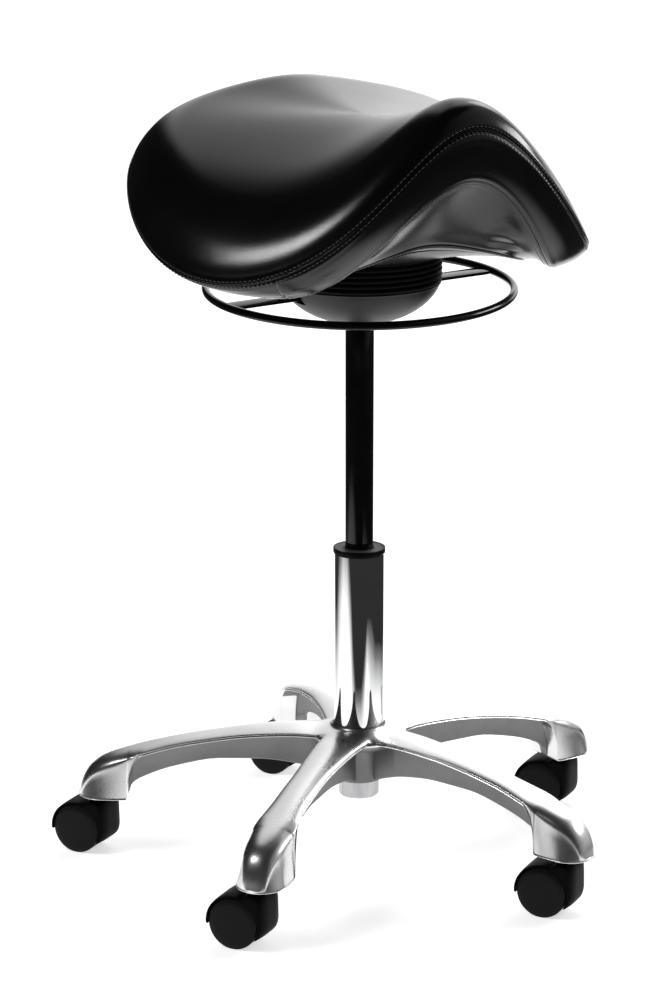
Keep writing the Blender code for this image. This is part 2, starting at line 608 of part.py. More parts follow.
# ---------------------------------------------------------------- casters
hood_outline = []
for k in range(9):
    a = 184.0 - 14.0 * k
    t = k / 8
    rr = 0.0276 + 0.0014 * math.sin(t * math.pi / 2)
    hood_outline.append((rr * math.cos(rad(a)), WHEEL_R + rr * math.sin(rad(a))))
hood_outline += [(0.0125, 0.0558), (0.0165, HOOD_TOP), (0.0262, HOOD_TOP), (0.0298, 0.0560), (0.0315, 0.0500),
                 (0.0320, 0.0440), (0.0321, 0.0250), (0.0314, 0.0200), (0.0300, 0.0163), (0.0278, 0.0138),
                 (0.0246, 0.0125), (0.0195, 0.0118), (0.0120, 0.0098), (-0.0050, 0.0100), (-0.0170, 0.0140),
                 (-0.0240, 0.0205)]


def hood_loops():
    # the outline, drawn in towards the wheel's rim at both ends of its width
    loops = []
    for y in (-1.0, -0.9, -0.7, -0.4, 0.4, 0.7, 0.9, 1.0):
        t = max(abs(y) - 0.3, 0.0) / 0.7
        e = 1.0 - math.sqrt(1.0 - t * t)
        lp = []
        for x, z in hood_outline:
            d = math.hypot(x, z - WHEEL_R)
            k = (d - min(max(d - HOOD_RIM, 0.0), HOOD_ROUND) * e) / d
            lp.append((x * k, y * HOOD_HALF, WHEEL_R + (z - WHEEL_R) * k))
        loops.append(lp)
    return loops



u = Vector((math.cos(rad(TRAIL_AZ)), math.sin(rad(TRAIL_AZ)), 0.0))
turn = Matrix.Rotation(rad(TRAIL_AZ), 4, "Z")
CASTERS = ["front_right", "right", "rear", "left", "front_left"]
for az, tag in zip(ARM_AZ, CASTERS):
    s = COL + Vector((STEM_R * math.cos(rad(az)), STEM_R * math.sin(rad(az)), 0.0))
    ax = s - u * TRAIL
    local = Matrix.Translation(ax) @ turn
    hood = loft("hood", hood_loops(), m=local)
    for side in (-1, 1):
        lo, hi = sorted((side * WEB_HALF, side * 0.030))
        combine(hood, cyl(HOOD_CAVITY_R, lo, hi, 26, m=local @ shift((0, 0, WHEEL_R)) @ ALONG_Y), "DIFFERENCE")
    combine(hood, cyl(0.0033, -0.03, 0.03, 12, m=local @ shift((0, 0, WHEEL_R)) @ ALONG_Y), "DIFFERENCE")
    combine(hood, cyl(0.0045, 0.0300, 0.0700, 12, m=Matrix.Translation(s)), "DIFFERENCE")
    rename(hood, "caster_hood_" + tag, slot_material("caster_hood_" + tag, (0.03, 0.03, 0.032), 0.4))
    place(hood, s, 35)
    stem = revolve("caster_stem_" + tag, [(0.0040, 0.0308), (0.0040, 0.0588), (0.0085, 0.0588), (0.0085, 0.0607),
                                          (0.0050, 0.0607), (0.0050, 0.0885)], 12, False,
                   slot_material("caster_stem_" + tag, (0.60, 0.60, 0.61), 0.25, 1.0), Matrix.Translation(s))
    place(stem, s, 30)
    axis = local @ shift((0, 0, WHEEL_R)) @ ALONG_Y
    axle = revolve("caster_axle_" + tag, [(AXLE_R, -AXLE_HALF), (AXLE_R, AXLE_HALF)], 12, False,
                   slot_material("caster_axle_" + tag, (0.60, 0.60, 0.61), 0.25, 1.0), axis)
    place(axle, ax + Vector((0, 0, WHEEL_R)), 30)
    wr = WHEEL_R / math.cos(math.pi / WHEEL_SEGS)
    for side, word in ((-1, "inner"), (1, "outer")):
        prof = [(0.0, side * 0.0171), (0.0034, side * 0.0171), (0.0034, side * WHEEL_IN), (0.0236, side * WHEEL_IN),
                (wr, side * 0.0079), (wr, side * 0.0188), (0.0242, side * 0.0197), (0.0, side * WHEEL_OUT)]
        name = "wheel_" + word + "_" + tag
        wheel = revolve(name, prof, WHEEL_SEGS, False, slot_material(name, (0.04, 0.04, 0.042), 0.45), axis,
                        phase=math.pi / WHEEL_SEGS)
        place(wheel, ax + Vector((0, 0, WHEEL_R)), 35)
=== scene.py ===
import math

import bmesh
import bpy
import numpy as np
from mathutils import Matrix, Vector
from mathutils.kdtree import KDTree


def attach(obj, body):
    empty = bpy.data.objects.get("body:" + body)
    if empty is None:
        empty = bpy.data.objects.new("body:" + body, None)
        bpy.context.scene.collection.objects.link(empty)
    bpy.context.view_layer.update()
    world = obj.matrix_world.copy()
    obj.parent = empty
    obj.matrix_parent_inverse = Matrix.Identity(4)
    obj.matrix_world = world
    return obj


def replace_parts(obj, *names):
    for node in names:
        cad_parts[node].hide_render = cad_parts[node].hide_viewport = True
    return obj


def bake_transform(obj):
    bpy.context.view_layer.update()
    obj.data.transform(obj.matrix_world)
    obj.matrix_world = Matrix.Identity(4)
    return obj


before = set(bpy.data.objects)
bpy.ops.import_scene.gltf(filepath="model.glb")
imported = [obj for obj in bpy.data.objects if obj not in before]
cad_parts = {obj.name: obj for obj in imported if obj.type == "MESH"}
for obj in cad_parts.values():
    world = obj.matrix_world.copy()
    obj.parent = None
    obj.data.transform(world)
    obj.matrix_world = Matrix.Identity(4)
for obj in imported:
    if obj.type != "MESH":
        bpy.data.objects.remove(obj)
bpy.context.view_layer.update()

TAGS = ["front_right", "right", "rear", "left", "front_left"]

# ------------------------------------------------------------------ sizes (as in the CAD model)
CX, CY = -0.0115, -0.0172
COL = Vector((CX, CY, 0.0))
ARM_AZ = [-70.0 + 72.0 * k for k in range(5)]
STEM_R = 0.2585
TRAIL_AZ = -56.1
TRAIL = 0.0215
WHEEL_R = 0.025
FOOT_W = 0.0243
FOOT_LEAN = 0.0039
RING_R, RING_ROD, RING_Z = 0.1491, 0.0040, 0.5823
TILT_X, TILT_Y = 0.04385, 0.02242
LEVER_Z, LEVER_Y = 0.5815, 0.026
PIVOT_Z = 0.5990
BOWL_A, BOWL_B, BOWL_CZ, BOWL_RIM = 0.0803, 0.0533, 0.6010, 0.5890
BELLOWS_TOP = 0.6208
UNDER_Z, UNDER_R = 0.6195, 0.0835
POCKET = 0.0123
# how strongly the floor glows near the stool: painted light on the floor
FLOOR_GLOW = 0.58
WALL_L = -8.0

YC = -0.0137
S_R = [0.2097, 0.0026, -0.0209, -0.0072, -0.0056, -0.0011, -0.0021]
S_Z = [0.6860, 0.0185, 0.0562, -0.0251, 0.0064, -0.0018, 0.0027]
S_EV = [0.0393, 0.0006, 0.0056]
S_EH = [0.0520, 0.0008, -0.0036]
S_ZC, S_POW = 0.7523, 1.8202
S_BI = [0.0328, 0.0103, -0.0054, 0.0027, -0.0054]
S_BH = [0.0273, -0.0050, 0.0149, -0.0077, -0.0070]
S_RB = [0.1269, -0.0080, -0.0120, 0.0136]
S_ZB = [0.6320, 0.0165, 0.0264, 0.0002]


def rad(a):
    return math.radians(a)


# ------------------------------------------------------------------ mesh helpers
def new_object(name, verts, faces, mats=(), smooth=True, angle=None, face_mat=None):
    me = bpy.data.meshes.new(name)
    me.from_pydata([tuple(map(float, v)) for v in verts], [], faces)
    bm = bmesh.new()
    bm.from_mesh(me)
    bmesh.ops.recalc_face_normals(bm, faces=bm.faces)
    if bm.calc_volume(signed=True) < 0:
        bmesh.ops.reverse_faces(bm, faces=bm.faces)
    bm.to_mesh(me)
    bm.free()
    ob = bpy.data.objects.new(name, me)
    bpy.context.scene.collection.objects.link(ob)
    for m in mats:
        me.materials.append(m)
    if smooth:
        me.shade_smooth()
        if angle is not None:
            me.set_sharp_from_angle(angle=rad(angle))
    return ob


def revolve(name, profile, segs, closed, mats=(), m=None, angle=35, smooth=True):
    verts, rings = [], []
    for r, z in profile:
        if r < 1e-9:
            rings.append([len(verts)])
            verts.append((0.0, 0.0, z))
        else:
            base = len(verts)
            for k in range(segs):
                a = 2 * math.pi * k / segs
                verts.append((r * math.cos(a), r * math.sin(a), z))
            rings.append(list(range(base, base + segs)))
    faces, n = [], len(rings)
    for i in range(n if closed else n - 1):
        a, b = rings[i], rings[(i + 1) % n]
        if len(a) == 1 and len(b) == 1:
            continue
        for k in range(segs):
            j = (k + 1) % segs
            if len(a) == 1:
                faces.append((a[0], b[k], b[j]))
            elif len(b) == 1:
                faces.append((a[k], b[0], a[j]))
            else:
                faces.append((a[k], b[k], b[j], a[j]))
    if not closed:
        for ring in (rings[0], rings[-1]):
            if len(ring) > 1:
                faces.append(tuple(ring))
    if m is not None:
        verts = [m @ Vector(v) for v in verts]
    return new_object(name, verts, faces, mats, smooth, angle)


def round_profile(pts, radius, steps=3, closed=True):
    # rounds the corners of a profile with short arcs
    out, n = [], len(pts)
    for i, p in enumerate(pts):
        if not closed and i in (0, n - 1):
            out.append(tuple(p))
            continue
        p = np.array(p, float)
        a, b = np.array(pts[i - 1], float), np.array(pts[(i + 1) % n], float)
        da, db = a - p, b - p
        la, lb = np.linalg.norm(da), np.linalg.norm(db)
        cosang = float(np.dot(da, db) / max(la * lb, 1e-12))
        if cosang < -0.985 or radius <= 0:
            out.append(tuple(p))
            continue
        d = min(radius, 0.45 * la, 0.45 * lb)
        s, e = p + da / la * d, p + db / lb * d
        for k in range(steps + 1):
            t = k / steps
            out.append(tuple((1 - t) ** 2 * s + 2 * t * (1 - t) * p + t * t * e))
    return out


def loft(name, loops, mats=(), m=None, angle=35, caps=True):
    n = len(loops[0])
    verts = [p for lp in loops for p in lp]
    faces = []
    for i in range(len(loops) - 1):
        for k in range(n):
            j = (k + 1) % n
            faces.append((i * n + k, i * n + j, (i + 1) * n + j, (i + 1) * n + k))
    if caps:
        faces.append(tuple(range(n)))
        faces.append(tuple(range((len(loops) - 1) * n, len(loops) * n)))
    if m is not None:
        verts = [m @ Vector(v) for v in verts]
    return new_object(name, verts, faces, mats, True, angle)


def grid(name, rows, mats=(), closed_rows=True, start=None, end=None, loop_rows=False, angle=None):
    # rows: list of (n, 3) arrays joined one to the next
    n = len(rows[0])
    verts = []
    if start is not None:
        verts.append(start)
    o = len(verts)
    for r in rows:
        verts += [tuple(p) for p in r]
    if end is not None:
        verts.append(end)
    faces = []
    cols = n if closed_rows else n - 1
    nr = len(rows)
    for i in range(nr if loop_rows else nr - 1):
        i2 = (i + 1) % nr
        for k in range(cols):
            j = (k + 1) % n
            faces.append((o + i * n + k, o + i2 * n + k, o + i2 * n + j, o + i * n + j))
    for k in range(cols):
        j = (k + 1) % n
        if start is not None:
            faces.append((0, o + k, o + j))
        if end is not None:
            faces.append((len(verts) - 1, o + (nr - 1) * n + j, o + (nr - 1) * n + k))
    return new_object(name, verts, faces, mats, True, angle)


def boolean(target, tool, op):
    mod = target.modifiers.new("b", "BOOLEAN")
    mod.operation = op
    mod.solver = "EXACT"
    mod.object = tool
    dg = bpy.context.evaluated_depsgraph_get()
    dg.update()
    me = bpy.data.meshes.new_from_object(target.evaluated_get(dg))
    target.modifiers.clear()
    old = target.data
    target.data = me
    me.name = target.name
    bpy.data.meshes.remove(old)
    bpy.data.objects.remove(tool, do_unlink=True)
    bm = bmesh.new()
    bm.from_mesh(me)
    bmesh.ops.remove_doubles(bm, verts=bm.verts, dist=2e-6)
    bmesh.ops.dissolve_degenerate(bm, edges=bm.edges, dist=2e-6)
    bm.to_mesh(me)
    bm.free()
    return target


def apply_mods(ob):
    dg = bpy.context.evaluated_depsgraph_get()
    dg.update()
    me = bpy.data.meshes.new_from_object(ob.evaluated_get(dg))
    ob.modifiers.clear()
    old = ob.data
    ob.data = me
    me.name = ob.name
    bpy.data.meshes.remove(old)
    return ob


def smooth_by_angle(ob, angle):
    ob.data.shade_smooth()
    ob.data.set_sharp_from_angle(angle=rad(angle))


def bevel(ob, width, segments=2, angle=30):
    b = ob.modifiers.new("bevel", "BEVEL")
    b.width = width
    b.segments = segments
    b.limit_method = "ANGLE"
    b.angle_limit = rad(angle)
    b.harden_normals = False
    return apply_mods(ob)


def shift(v):
    return Matrix.Translation(Vector(v))


def on_col(m=None):
    t = Matrix.Translation(COL)
    return t if m is None else t @ m


ALONG_X = Matrix.Rotation(rad(90), 4, "Y")
ALONG_Y = Matrix.Rotation(rad(-90), 4, "X")


def curve_table(xy, x):
    # smooth curve through a table of points
    xs, ys = np.array(xy[0], float), np.array(xy[1], float)
    d = np.diff(ys) / np.diff(xs)
    m = np.empty_like(ys)
    m[0], m[-1] = d[0], d[-1]
    for i in range(1, len(xs) - 1):
        if d[i - 1] * d[i] <= 0:
            m[i] = 0
        else:
            h0, h1 = xs[i] - xs[i - 1], xs[i + 1] - xs[i]
            w1, w2 = 2 * h1 + h0, h1 + 2 * h0
            m[i] = (w1 + w2) / (w1 / d[i - 1] + w2 / d[i])
    x = min(max(x, xs[0]), xs[-1])
    i = min(max(int(np.searchsorted(xs, x)) - 1, 0), len(xs) - 2)
    h = xs[i + 1] - xs[i]
    t = (x - xs[i]) / h
    return float((2 * t ** 3 - 3 * t ** 2 + 1) * ys[i] + (t ** 3 - 2 * t ** 2 + t) * h * m[i]
                 + (-2 * t ** 3 + 3 * t ** 2) * ys[i + 1] + (t ** 3 - t ** 2) * h * m[i + 1])


# ------------------------------------------------------------------ materials
class Mat:
    """Small helper that builds a node material."""

    def __init__(self, name):
        self.m = bpy.data.materials.new(name)
        self.m.use_nodes = True
        self.t = self.m.node_tree
        self.p = self.t.nodes["Principled BSDF"]

    def node(self, kind, **values):
        n = self.t.nodes.new(kind)
        for k, v in values.items():
            if hasattr(n, k):
                setattr(n, k, v)
            else:
                n.inputs[k.replace("_", " ")].default_value = v
        return n

    def link(self, a, b):
        self.t.links.new(a, b)

    def set(self, **values):
        for k, v in values.items():
            s = self.p.inputs[k.replace("_", " ")]
            s.default_value = (*v, 1.0) if isinstance(v, tuple) and len(v) == 3 and s.type == "RGBA" else v
        return self

    def coords(self):
        if not hasattr(self, "tc"):
            self.tc = self.node("ShaderNodeTexCoord").outputs["Object"]
        return self.tc

    def noise(self, scale, detail=2.0, rough=0.5, dist=0.0, vec=None):
        n = self.node("ShaderNodeTexNoise", Scale=scale, Detail=detail, Roughness=rough, Distortion=dist)
        self.link(vec or self.coords(), n.inputs["Vector"])
        return n.outputs["Fac"]

    def stretch(self, scale):
        n = self.node("ShaderNodeMapping")
        n.inputs["Scale"].default_value = scale
        self.link(self.coords(), n.inputs["Vector"])
        return n.outputs["Vector"]

    def voronoi(self, scale, feature="F1", vec=None):
        n = self.node("ShaderNodeTexVoronoi", Scale=scale, feature=feature)
        self.link(vec or self.coords(), n.inputs["Vector"])
        return n.outputs["Distance"]

    def ramp(self, fac, stops):
        n = self.node("ShaderNodeValToRGB")
        e = n.color_ramp.elements
        while len(e) > 1:
            e.remove(e[-1])
        e[0].position, e[0].color = stops[0][0], (*stops[0][1], 1)
        for pos, c in stops[1:]:
            x = e.new(pos)
            x.color = (*c, 1)
        self.link(fac, n.inputs["Fac"])
        return n.outputs["Color"]

    def map(self, v, a, b, c, d):
        n = self.node("ShaderNodeMapRange")
        self.link(v, n.inputs["Value"])
        for k, x in zip(("From Min", "From Max", "To Min", "To Max"), (a, b, c, d)):
            n.inputs[k].default_value = x
        return n.outputs["Result"]

    def math(self, op, a, b=0.0, c=0.0):
        n = self.node("ShaderNodeMath", operation=op)
        for i, v in enumerate((a, b, c)):
            if i >= len(n.inputs):
                break
            if isinstance(v, (int, float)):
                n.inputs[i].default_value = v
            else:
                self.link(v, n.inputs[i])
        return n.outputs["Value"]

    def attr(self, name):
        n = self.node("ShaderNodeAttribute", attribute_name=name)
        return n.outputs["Fac"]

    def bump(self, height, strength, distance, normal=None):
        n = self.node("ShaderNodeBump", Strength=strength, Distance=distance)
        self.link(height, n.inputs["Height"])
        if normal is not None:
            self.link(normal, n.inputs["Normal"])
        return n.outputs["Normal"]

    def finish_normal(self, normal):
        self.link(normal, self.p.inputs["Normal"])

    def color(self, c):
        self.link(c, self.p.inputs["Base Color"])

    def rough(self, v):
        self.link(v, self.p.inputs["Roughness"])


def mat_plastic(name, rgb, rough, grain=0.25, scale=1400.0, spec=0.5):
    m = Mat(name).set(Metallic=0.0, Specular_IOR_Level=spec)
    n1 = m.noise(scale, 2.0)
    n2 = m.noise(38.0, 3.0)
    lo, hi = tuple(c * 0.8 for c in rgb), tuple(min(c * 1.25, 1.0) for c in rgb)
    m.color(m.ramp(n2, [(0.3, lo), (0.7, hi)]))
    m.rough(m.map(n2, 0.2, 0.8, rough - 0.05, rough + 0.06))
    m.finish_normal(m.bump(n1, grain, 0.0001))
    return m.m


def mat_metal(name, rgb, rough, streak=None, grain=0.15, spread=0.05, scale=900.0):
    m = Mat(name).set(Metallic=1.0)
    n2 = m.noise(22.0, 4.0, 0.6)
    lo, hi = tuple(c * 0.93 for c in rgb), tuple(min(c * 1.03, 1.0) for c in rgb)
    m.color(m.ramp(n2, [(0.3, lo), (0.7, hi)]))
    m.rough(m.map(n2, 0.25, 0.75, max(rough - spread, 0.01), rough + spread))
    fine = m.noise(scale, 3.0, 0.6, vec=m.stretch(streak) if streak else None)
    m.finish_normal(m.bump(fine, grain, 0.00005))
    return m.m


M_ALU = mat_metal("polished_aluminium", (0.80, 0.80, 0.805), 0.28, grain=0.12, spread=0.04, scale=500.0)
M_CHROME = mat_metal("chrome_steel", (0.88, 0.885, 0.895), 0.025, grain=0.02, spread=0.015)
M_STEEL = mat_metal("bright_steel", (0.62, 0.62, 0.63), 0.28, streak=(1, 1, 12), grain=0.4)
# dark steel for the bracket, plate and clip; the same colour is also used as painted shade inside the notches at the
# tube's foot
M_DARKSTEEL_AND_NOTCH_SHADE = mat_plastic("dark_steel", (0.055, 0.055, 0.058), 0.45, 0.4, 900.0)
M_BRASS = mat_metal("brass", (0.72, 0.58, 0.34), 0.25, streak=(1, 1, 10), grain=0.3)
M_BLACKPLASTIC = mat_plastic("black_plastic", (0.0026, 0.0026, 0.0028), 0.42, 0.35, 1500.0, 0.07)
M_WHEEL = mat_plastic("wheel_nylon", (0.0035, 0.0035, 0.0037), 0.42, 0.3, 1200.0, 0.12)
M_TREAD = mat_plastic("wheel_tread", (0.005, 0.005, 0.0052), 0.6, 0.5, 700.0, 0.2)
M_BOWL = mat_plastic("bowl_plastic", (0.005, 0.005, 0.0053), 0.42, 0.12, 1800.0, 0.42)
M_RUBBER = mat_plastic("black_rubber", (0.008, 0.008, 0.008), 0.62, 0.5, 800.0, 0.35)
M_BELLOWS = mat_plastic("bellows_rubber", (0.0020, 0.0020, 0.0020), 0.5, 0.3, 900.0, 0.10)
M_BLACKSTEEL = mat_plastic("black_steel", (0.0015, 0.0015, 0.0016), 0.12, 0.06, 1600.0, 0.35)
M_HOOD = mat_plastic("hood_plastic", (0.0022, 0.0022, 0.0024), 0.44, 0.35, 1500.0, 0.035)
M_END = mat_metal("tube_end_steel", (0.50, 0.50, 0.51), 0.20, grain=0.3)
M_COLLAR = mat_plastic("collar_plastic", (0.05, 0.05, 0.05), 0.55, 0.9, 500.0)


def mat_cast():
    m = Mat("cast_aluminium").set(Metallic=1.0)
    n = m.noise(900.0, 4.0, 0.6)
    big = m.noise(30.0, 3.0)
    m.color(m.ramp(big, [(0.3, (0.20, 0.20, 0.205)), (0.7, (0.26, 0.26, 0.265))]))
    m.rough(m.map(big, 0.2, 0.8, 0.42, 0.55))
    m.finish_normal(m.bump(n, 0.5, 0.0002))
    return m.m


def mat_wood():
    m = Mat("shell_plywood")
    rings = m.node("ShaderNodeTexWave", Scale=9.0, Distortion=6.0, Detail=3.0)
    m.link(m.stretch((0.4, 3.0, 1.0)), rings.inputs["Vector"])
    m.color(m.ramp(rings.outputs["Fac"], [(0.1, (0.42, 0.28, 0.16)), (0.9, (0.62, 0.45, 0.29))]))
    m.rough(m.map(rings.outputs["Fac"], 0, 1, 0.5, 0.65))
    m.finish_normal(m.bump(rings.outputs["Fac"], 0.2, 0.0003))
    return m.m


def mat_cover():
    m = Mat("underside_cover")
    n = m.noise(420.0, 3.0)
    big = m.noise(14.0, 3.0)
    m.color(m.ramp(big, [(0.3, (0.008, 0.008, 0.008)), (0.7, (0.014, 0.014, 0.0145))]))
    m.rough(m.map(big, 0.2, 0.8, 0.22, 0.30))
    m.finish_normal(m.bump(n, 0.35, 0.0002))
    return m.m


def mat_leather():
    m = Mat("black_leather").set(Specular_IOR_Level=0.5)
    cells = m.voronoi(1250.0, "DISTANCE_TO_EDGE")
    cells2 = m.voronoi(620.0, "DISTANCE_TO_EDGE")
    fine = m.noise(2600.0, 2.0)
    big = m.noise(11.0, 3.0)
    g1 = m.map(cells, 0.0, 0.22, 0.0, 1.0)
    g2 = m.map(cells2, 0.0, 0.30, 0.0, 1.0)
    h = m.math("ADD", m.math("MULTIPLY", g1, 0.6), m.math("MULTIPLY", g2, 0.3))
    h = m.math("ADD", h, m.math("MULTIPLY", fine, 0.25))
    # puckers along the stitched rows: seam_u runs along the seam, seam_v is the distance from it
    u, v = m.attr("seam_u"), m.attr("seam_v")
    wave = m.math("SINE", m.math("MULTIPLY", u, 2 * math.pi / 0.0046))
    wave = m.math("ADD", m.math("MULTIPLY", wave, 0.5), 0.5)
    near = m.map(m.math("ABSOLUTE", v), 0.0, 0.0085, 1.0, 0.0)
    near = m.math("MULTIPLY", near, near)
    n = m.bump(m.math("MULTIPLY", wave, near), 0.55, 0.0011)
    x = m.attr("cross_v")
    line = m.map(m.math("ABSOLUTE", x), 0.0, 0.0016, 0.0, 1.0)
    n = m.bump(line, 0.9, 0.0012, n)
    n = m.bump(h, 0.075, 0.00017, n)
    m.color(m.ramp(big, [(0.3, (0.0012, 0.0012, 0.0013)), (0.7, (0.0022, 0.0022, 0.0023))]))
    m.rough(m.math("ADD", m.map(big, 0.25, 0.75, 0.165, 0.195), m.math("MULTIPLY", g1, -0.02)))
    m.finish_normal(n)
    return m.m


def mat_thread():
    m = Mat("thread").set(Specular_IOR_Level=0.6)
    w = m.noise(2400.0, 1.0)
    m.color(m.ramp(w, [(0.3, (0.035, 0.035, 0.036)), (0.7, (0.06, 0.06, 0.062))]))
    m.rough(m.map(w, 0, 1, 0.35, 0.5))
    m.finish_normal(m.bump(w, 0.6, 0.0001))
    return m.m


M_CAST = mat_cast()
M_WOOD = mat_wood()
M_COVER = mat_cover()
M_LEATHER = mat_leather()
M_THREAD = mat_thread()

CARRIED = {
    "thrust_bearing": M_STEEL, "thrust_washer": M_STEEL, "bump_stop": M_RUBBER, "retaining_clip": M_DARKSTEEL_AND_NOTCH_SHADE,
    "piston_rod": M_STEEL, "piston": M_BRASS, "cylinder_gland": M_BLACKPLASTIC, "release_pin": M_STEEL,
    "lower_bracket": M_DARKSTEEL_AND_NOTCH_SHADE, "ring_pivot_pin": M_STEEL, "tilt_cross": M_STEEL, "bush_front": M_RUBBER,
    "bush_rear": M_RUBBER, "bush_left": M_RUBBER, "bush_right": M_RUBBER, "seat_plate": M_DARKSTEEL_AND_NOTCH_SHADE,
    "seat_bolt_1": M_STEEL, "seat_bolt_2": M_STEEL, "seat_bolt_3": M_STEEL, "seat_bolt_4": M_STEEL,
    "seat_shell": M_WOOD,
}
for t in TAGS:
    CARRIED["caster_axle_" + t] = M_STEEL
for node, mat in CARRIED.items():
    for s in bpy.data.objects[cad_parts[node].name].material_slots:
        s.material = mat

# ------------------------------------------------------------------ star base
T_W = ([0.0225, 0.060, 0.10, 0.14, 0.18, 0.1960, 0.2100, 0.2176, 0.2257, 0.2320, 0.2420, 0.2500],
       [0.0262, 0.0225, 0.0195, 0.0172, 0.0172, 0.0179, 0.0193, 0.0202, 0.0217, 0.0229, 0.0241, FOOT_W])
T_E = ([0.0225, 0.060, 0.10, 0.14, 0.18, 0.2176], [0.1297, 0.1309, 0.1286, 0.1233, 0.1161, 0.1066])
T_B = ([0.0225, 0.060, 0.10, 0.14, 0.18, 0.2150, 0.2290, 0.2320, 0.2330],
       [0.0855, 0.0969, 0.1016, 0.1012, 0.0938, 0.0814, 0.0718, 0.0625, 0.0610])
T_TOP = ([0.0225, 0.060, 0.10, 0.14, 0.18, 0.2176, 0.2378, 0.2490, 0.2600, 0.2692, 0.2763, 0.2803, 0.2818],
         [0.1362, 0.1374, 0.1351, 0.1298, 0.1226, 0.1133, 0.1077, 0.1039, 0.0990, 0.0922, 0.0823, 0.0721, 0.0640])
T_LOW = ([0.2176, 0.2202, 0.2257, 0.2288, 0.2307, 0.2314, 0.2321, 0.2330],
         [0.1066, 0.1050, 0.0977, 0.0893, 0.0819, 0.0740, 0.0632, 0.0610])


def arm_numbers(s):
    w = curve_table(T_W, s)
    if s > STEM_R:
        w = FOOT_W * math.sqrt(max(1 - ((s - STEM_R) / FOOT_W) ** 2, 1e-6))
    zt = curve_table(T_TOP, s)
    ze = curve_table(T_E, s) if s < 0.2176 else curve_table(T_LOW, s)
    zb = curve_table(T_B, s)
    return w, zt, ze, zb


def crown(s, zt, ze):
    # how far the back falls to each side, and how square it is: a low crown on the arm, rounded shoulders on the foot
    t = min(max((s - 0.2130) / 0.0370, 0.0), 1.0)
    t = t * t * (3 - 2 * t)
    drop = max(min(zt - ze - 0.0026, 0.0039 + 0.0081 * t), 0.0004)
    return drop, t


def crown_fall(t, drop, k):
    low = 0.55 * t * t + 0.45 * (1 - math.sqrt(max(1 - t * t, 0.0)))
    dome = 1 - max(1 - t ** 2.3, 0.0) ** (1 / 2.3)
    return drop * (low * (1 - k) + dome * k)


def arm_section(s):
    w, zt, ze, zb = arm_numbers(s)
    drop, c1 = crown(s, zt, ze)
    g = min(w / 0.01, 1)
    top_side = zt - drop
    side = ze + 0.0026
    lean = FOOT_LEAN * (1.0 + 1.2 * min(max((s - 0.250) / 0.028, 0.0), 1.0)) * c1 * g
    lean *= min(max(top_side - side, 0.0) / 0.0200, 1.0)
    wl = w - 0.0005 * g - lean
    half = []
    for k in range(17):
        t = math.sin(math.pi / 2 * k / 16)
        half.append((wl * t, zt - crown_fall(t, drop, c1)))
    for k in (1, 2, 3, 4):
        half.append((wl + lean * k / 4, top_side + (side - top_side) * k / 4 - 0.0001 * k))
    wl += lean
    half += [(wl - 0.0005 * g, side - 0.0006), (wl - 0.0007 * g, side - 0.0009), (wl - 0.0003 * g, side - 0.0012)]
    half += [(w + 0.0001 * g, side - 0.0014), (w + 0.0004 * g, side - 0.0018), (w + 0.0002 * g, side - 0.0023),
             (w - 0.0010 * g, ze)]
    if zb < ze - 0.0004:
        ww = 0.0055
        half += [(ww + 0.0030, ze), (ww + 0.0009, ze - min(0.0010, (ze - zb) * 0.2)),
                 (ww, ze - min(0.0035, (ze - zb) * 0.4)), (ww, zb + min(0.0012, (ze - zb) * 0.2)),
                 (ww - 0.0010, zb), (0.0, zb)]
    else:
        for q in (0.62, 0.5, 0.38, 0.26, 0.12, 0.0):
            half.append((q * (w - 0.001 * g), ze))
    left = [(-y, z) for y, z in half[1:-1]]
    return half + left[::-1]


def star_arm(az):
    stations = [0.0225, 0.026, 0.030, 0.034, 0.038, 0.042, 0.046, 0.050, 0.055, 0.060, 0.066, 0.073, 0.081, 0.09,
                0.10, 0.11, 0.12, 0.13, 0.14, 0.15, 0.16, 0.17, 0.18, 0.19, 0.199, 0.207, 0.2135, 0.2176, 0.2202,
                0.223, 0.2257, 0.2275, 0.2288, 0.2298, 0.2307, 0.2311, 0.2315, 0.2319, 0.2323, 0.2327, 0.2331,
                0.2345, 0.237, 0.240, 0.244, 0.248, 0.252, 0.256, STEM_R]
    stations += [STEM_R + FOOT_W * math.sin(rad(a)) for a in (7, 14, 21, 28, 35, 41, 47, 53, 59, 65, 70, 75, 79, 82.5,
                                                              85.5)]
    loops = [[(s, y, z) for y, z in arm_section(s)] for s in stations]
    return loft("arm", loops, m=on_col(Matrix.Rotation(rad(az), 4, "Z")))


def hub_height(r):
    return curve_table(([0.0253, 0.0262, 0.0275, 0.0300, 0.0360, 0.0430, 0.0475, 0.055, 0.07],
                        [0.1424, 0.1410, 0.1392, 0.1381, 0.1366, 0.1345, 0.1322, 0.127, 0.10]), r)


def arm_height(x, y, az):
    c, s = math.cos(rad(az)), math.sin(rad(az))
    a, t = x * c + y * s, abs(-x * s + y * c)
    if a <= 0.012:
        return -1.0
    w, zt, ze, zb = arm_numbers(max(a, 0.0225))
    drop, c1 = crown(a, zt, ze)
    wl = w - 0.0005
    if t < wl:
        return zt - crown_fall(t / wl, drop, c1)
    return zt - drop - (t - wl) * 3.0


def soft_max(a, b, k):
    h = max(k - abs(a - b), 0.0)
    return max(a, b) + h * h / (4 * k)


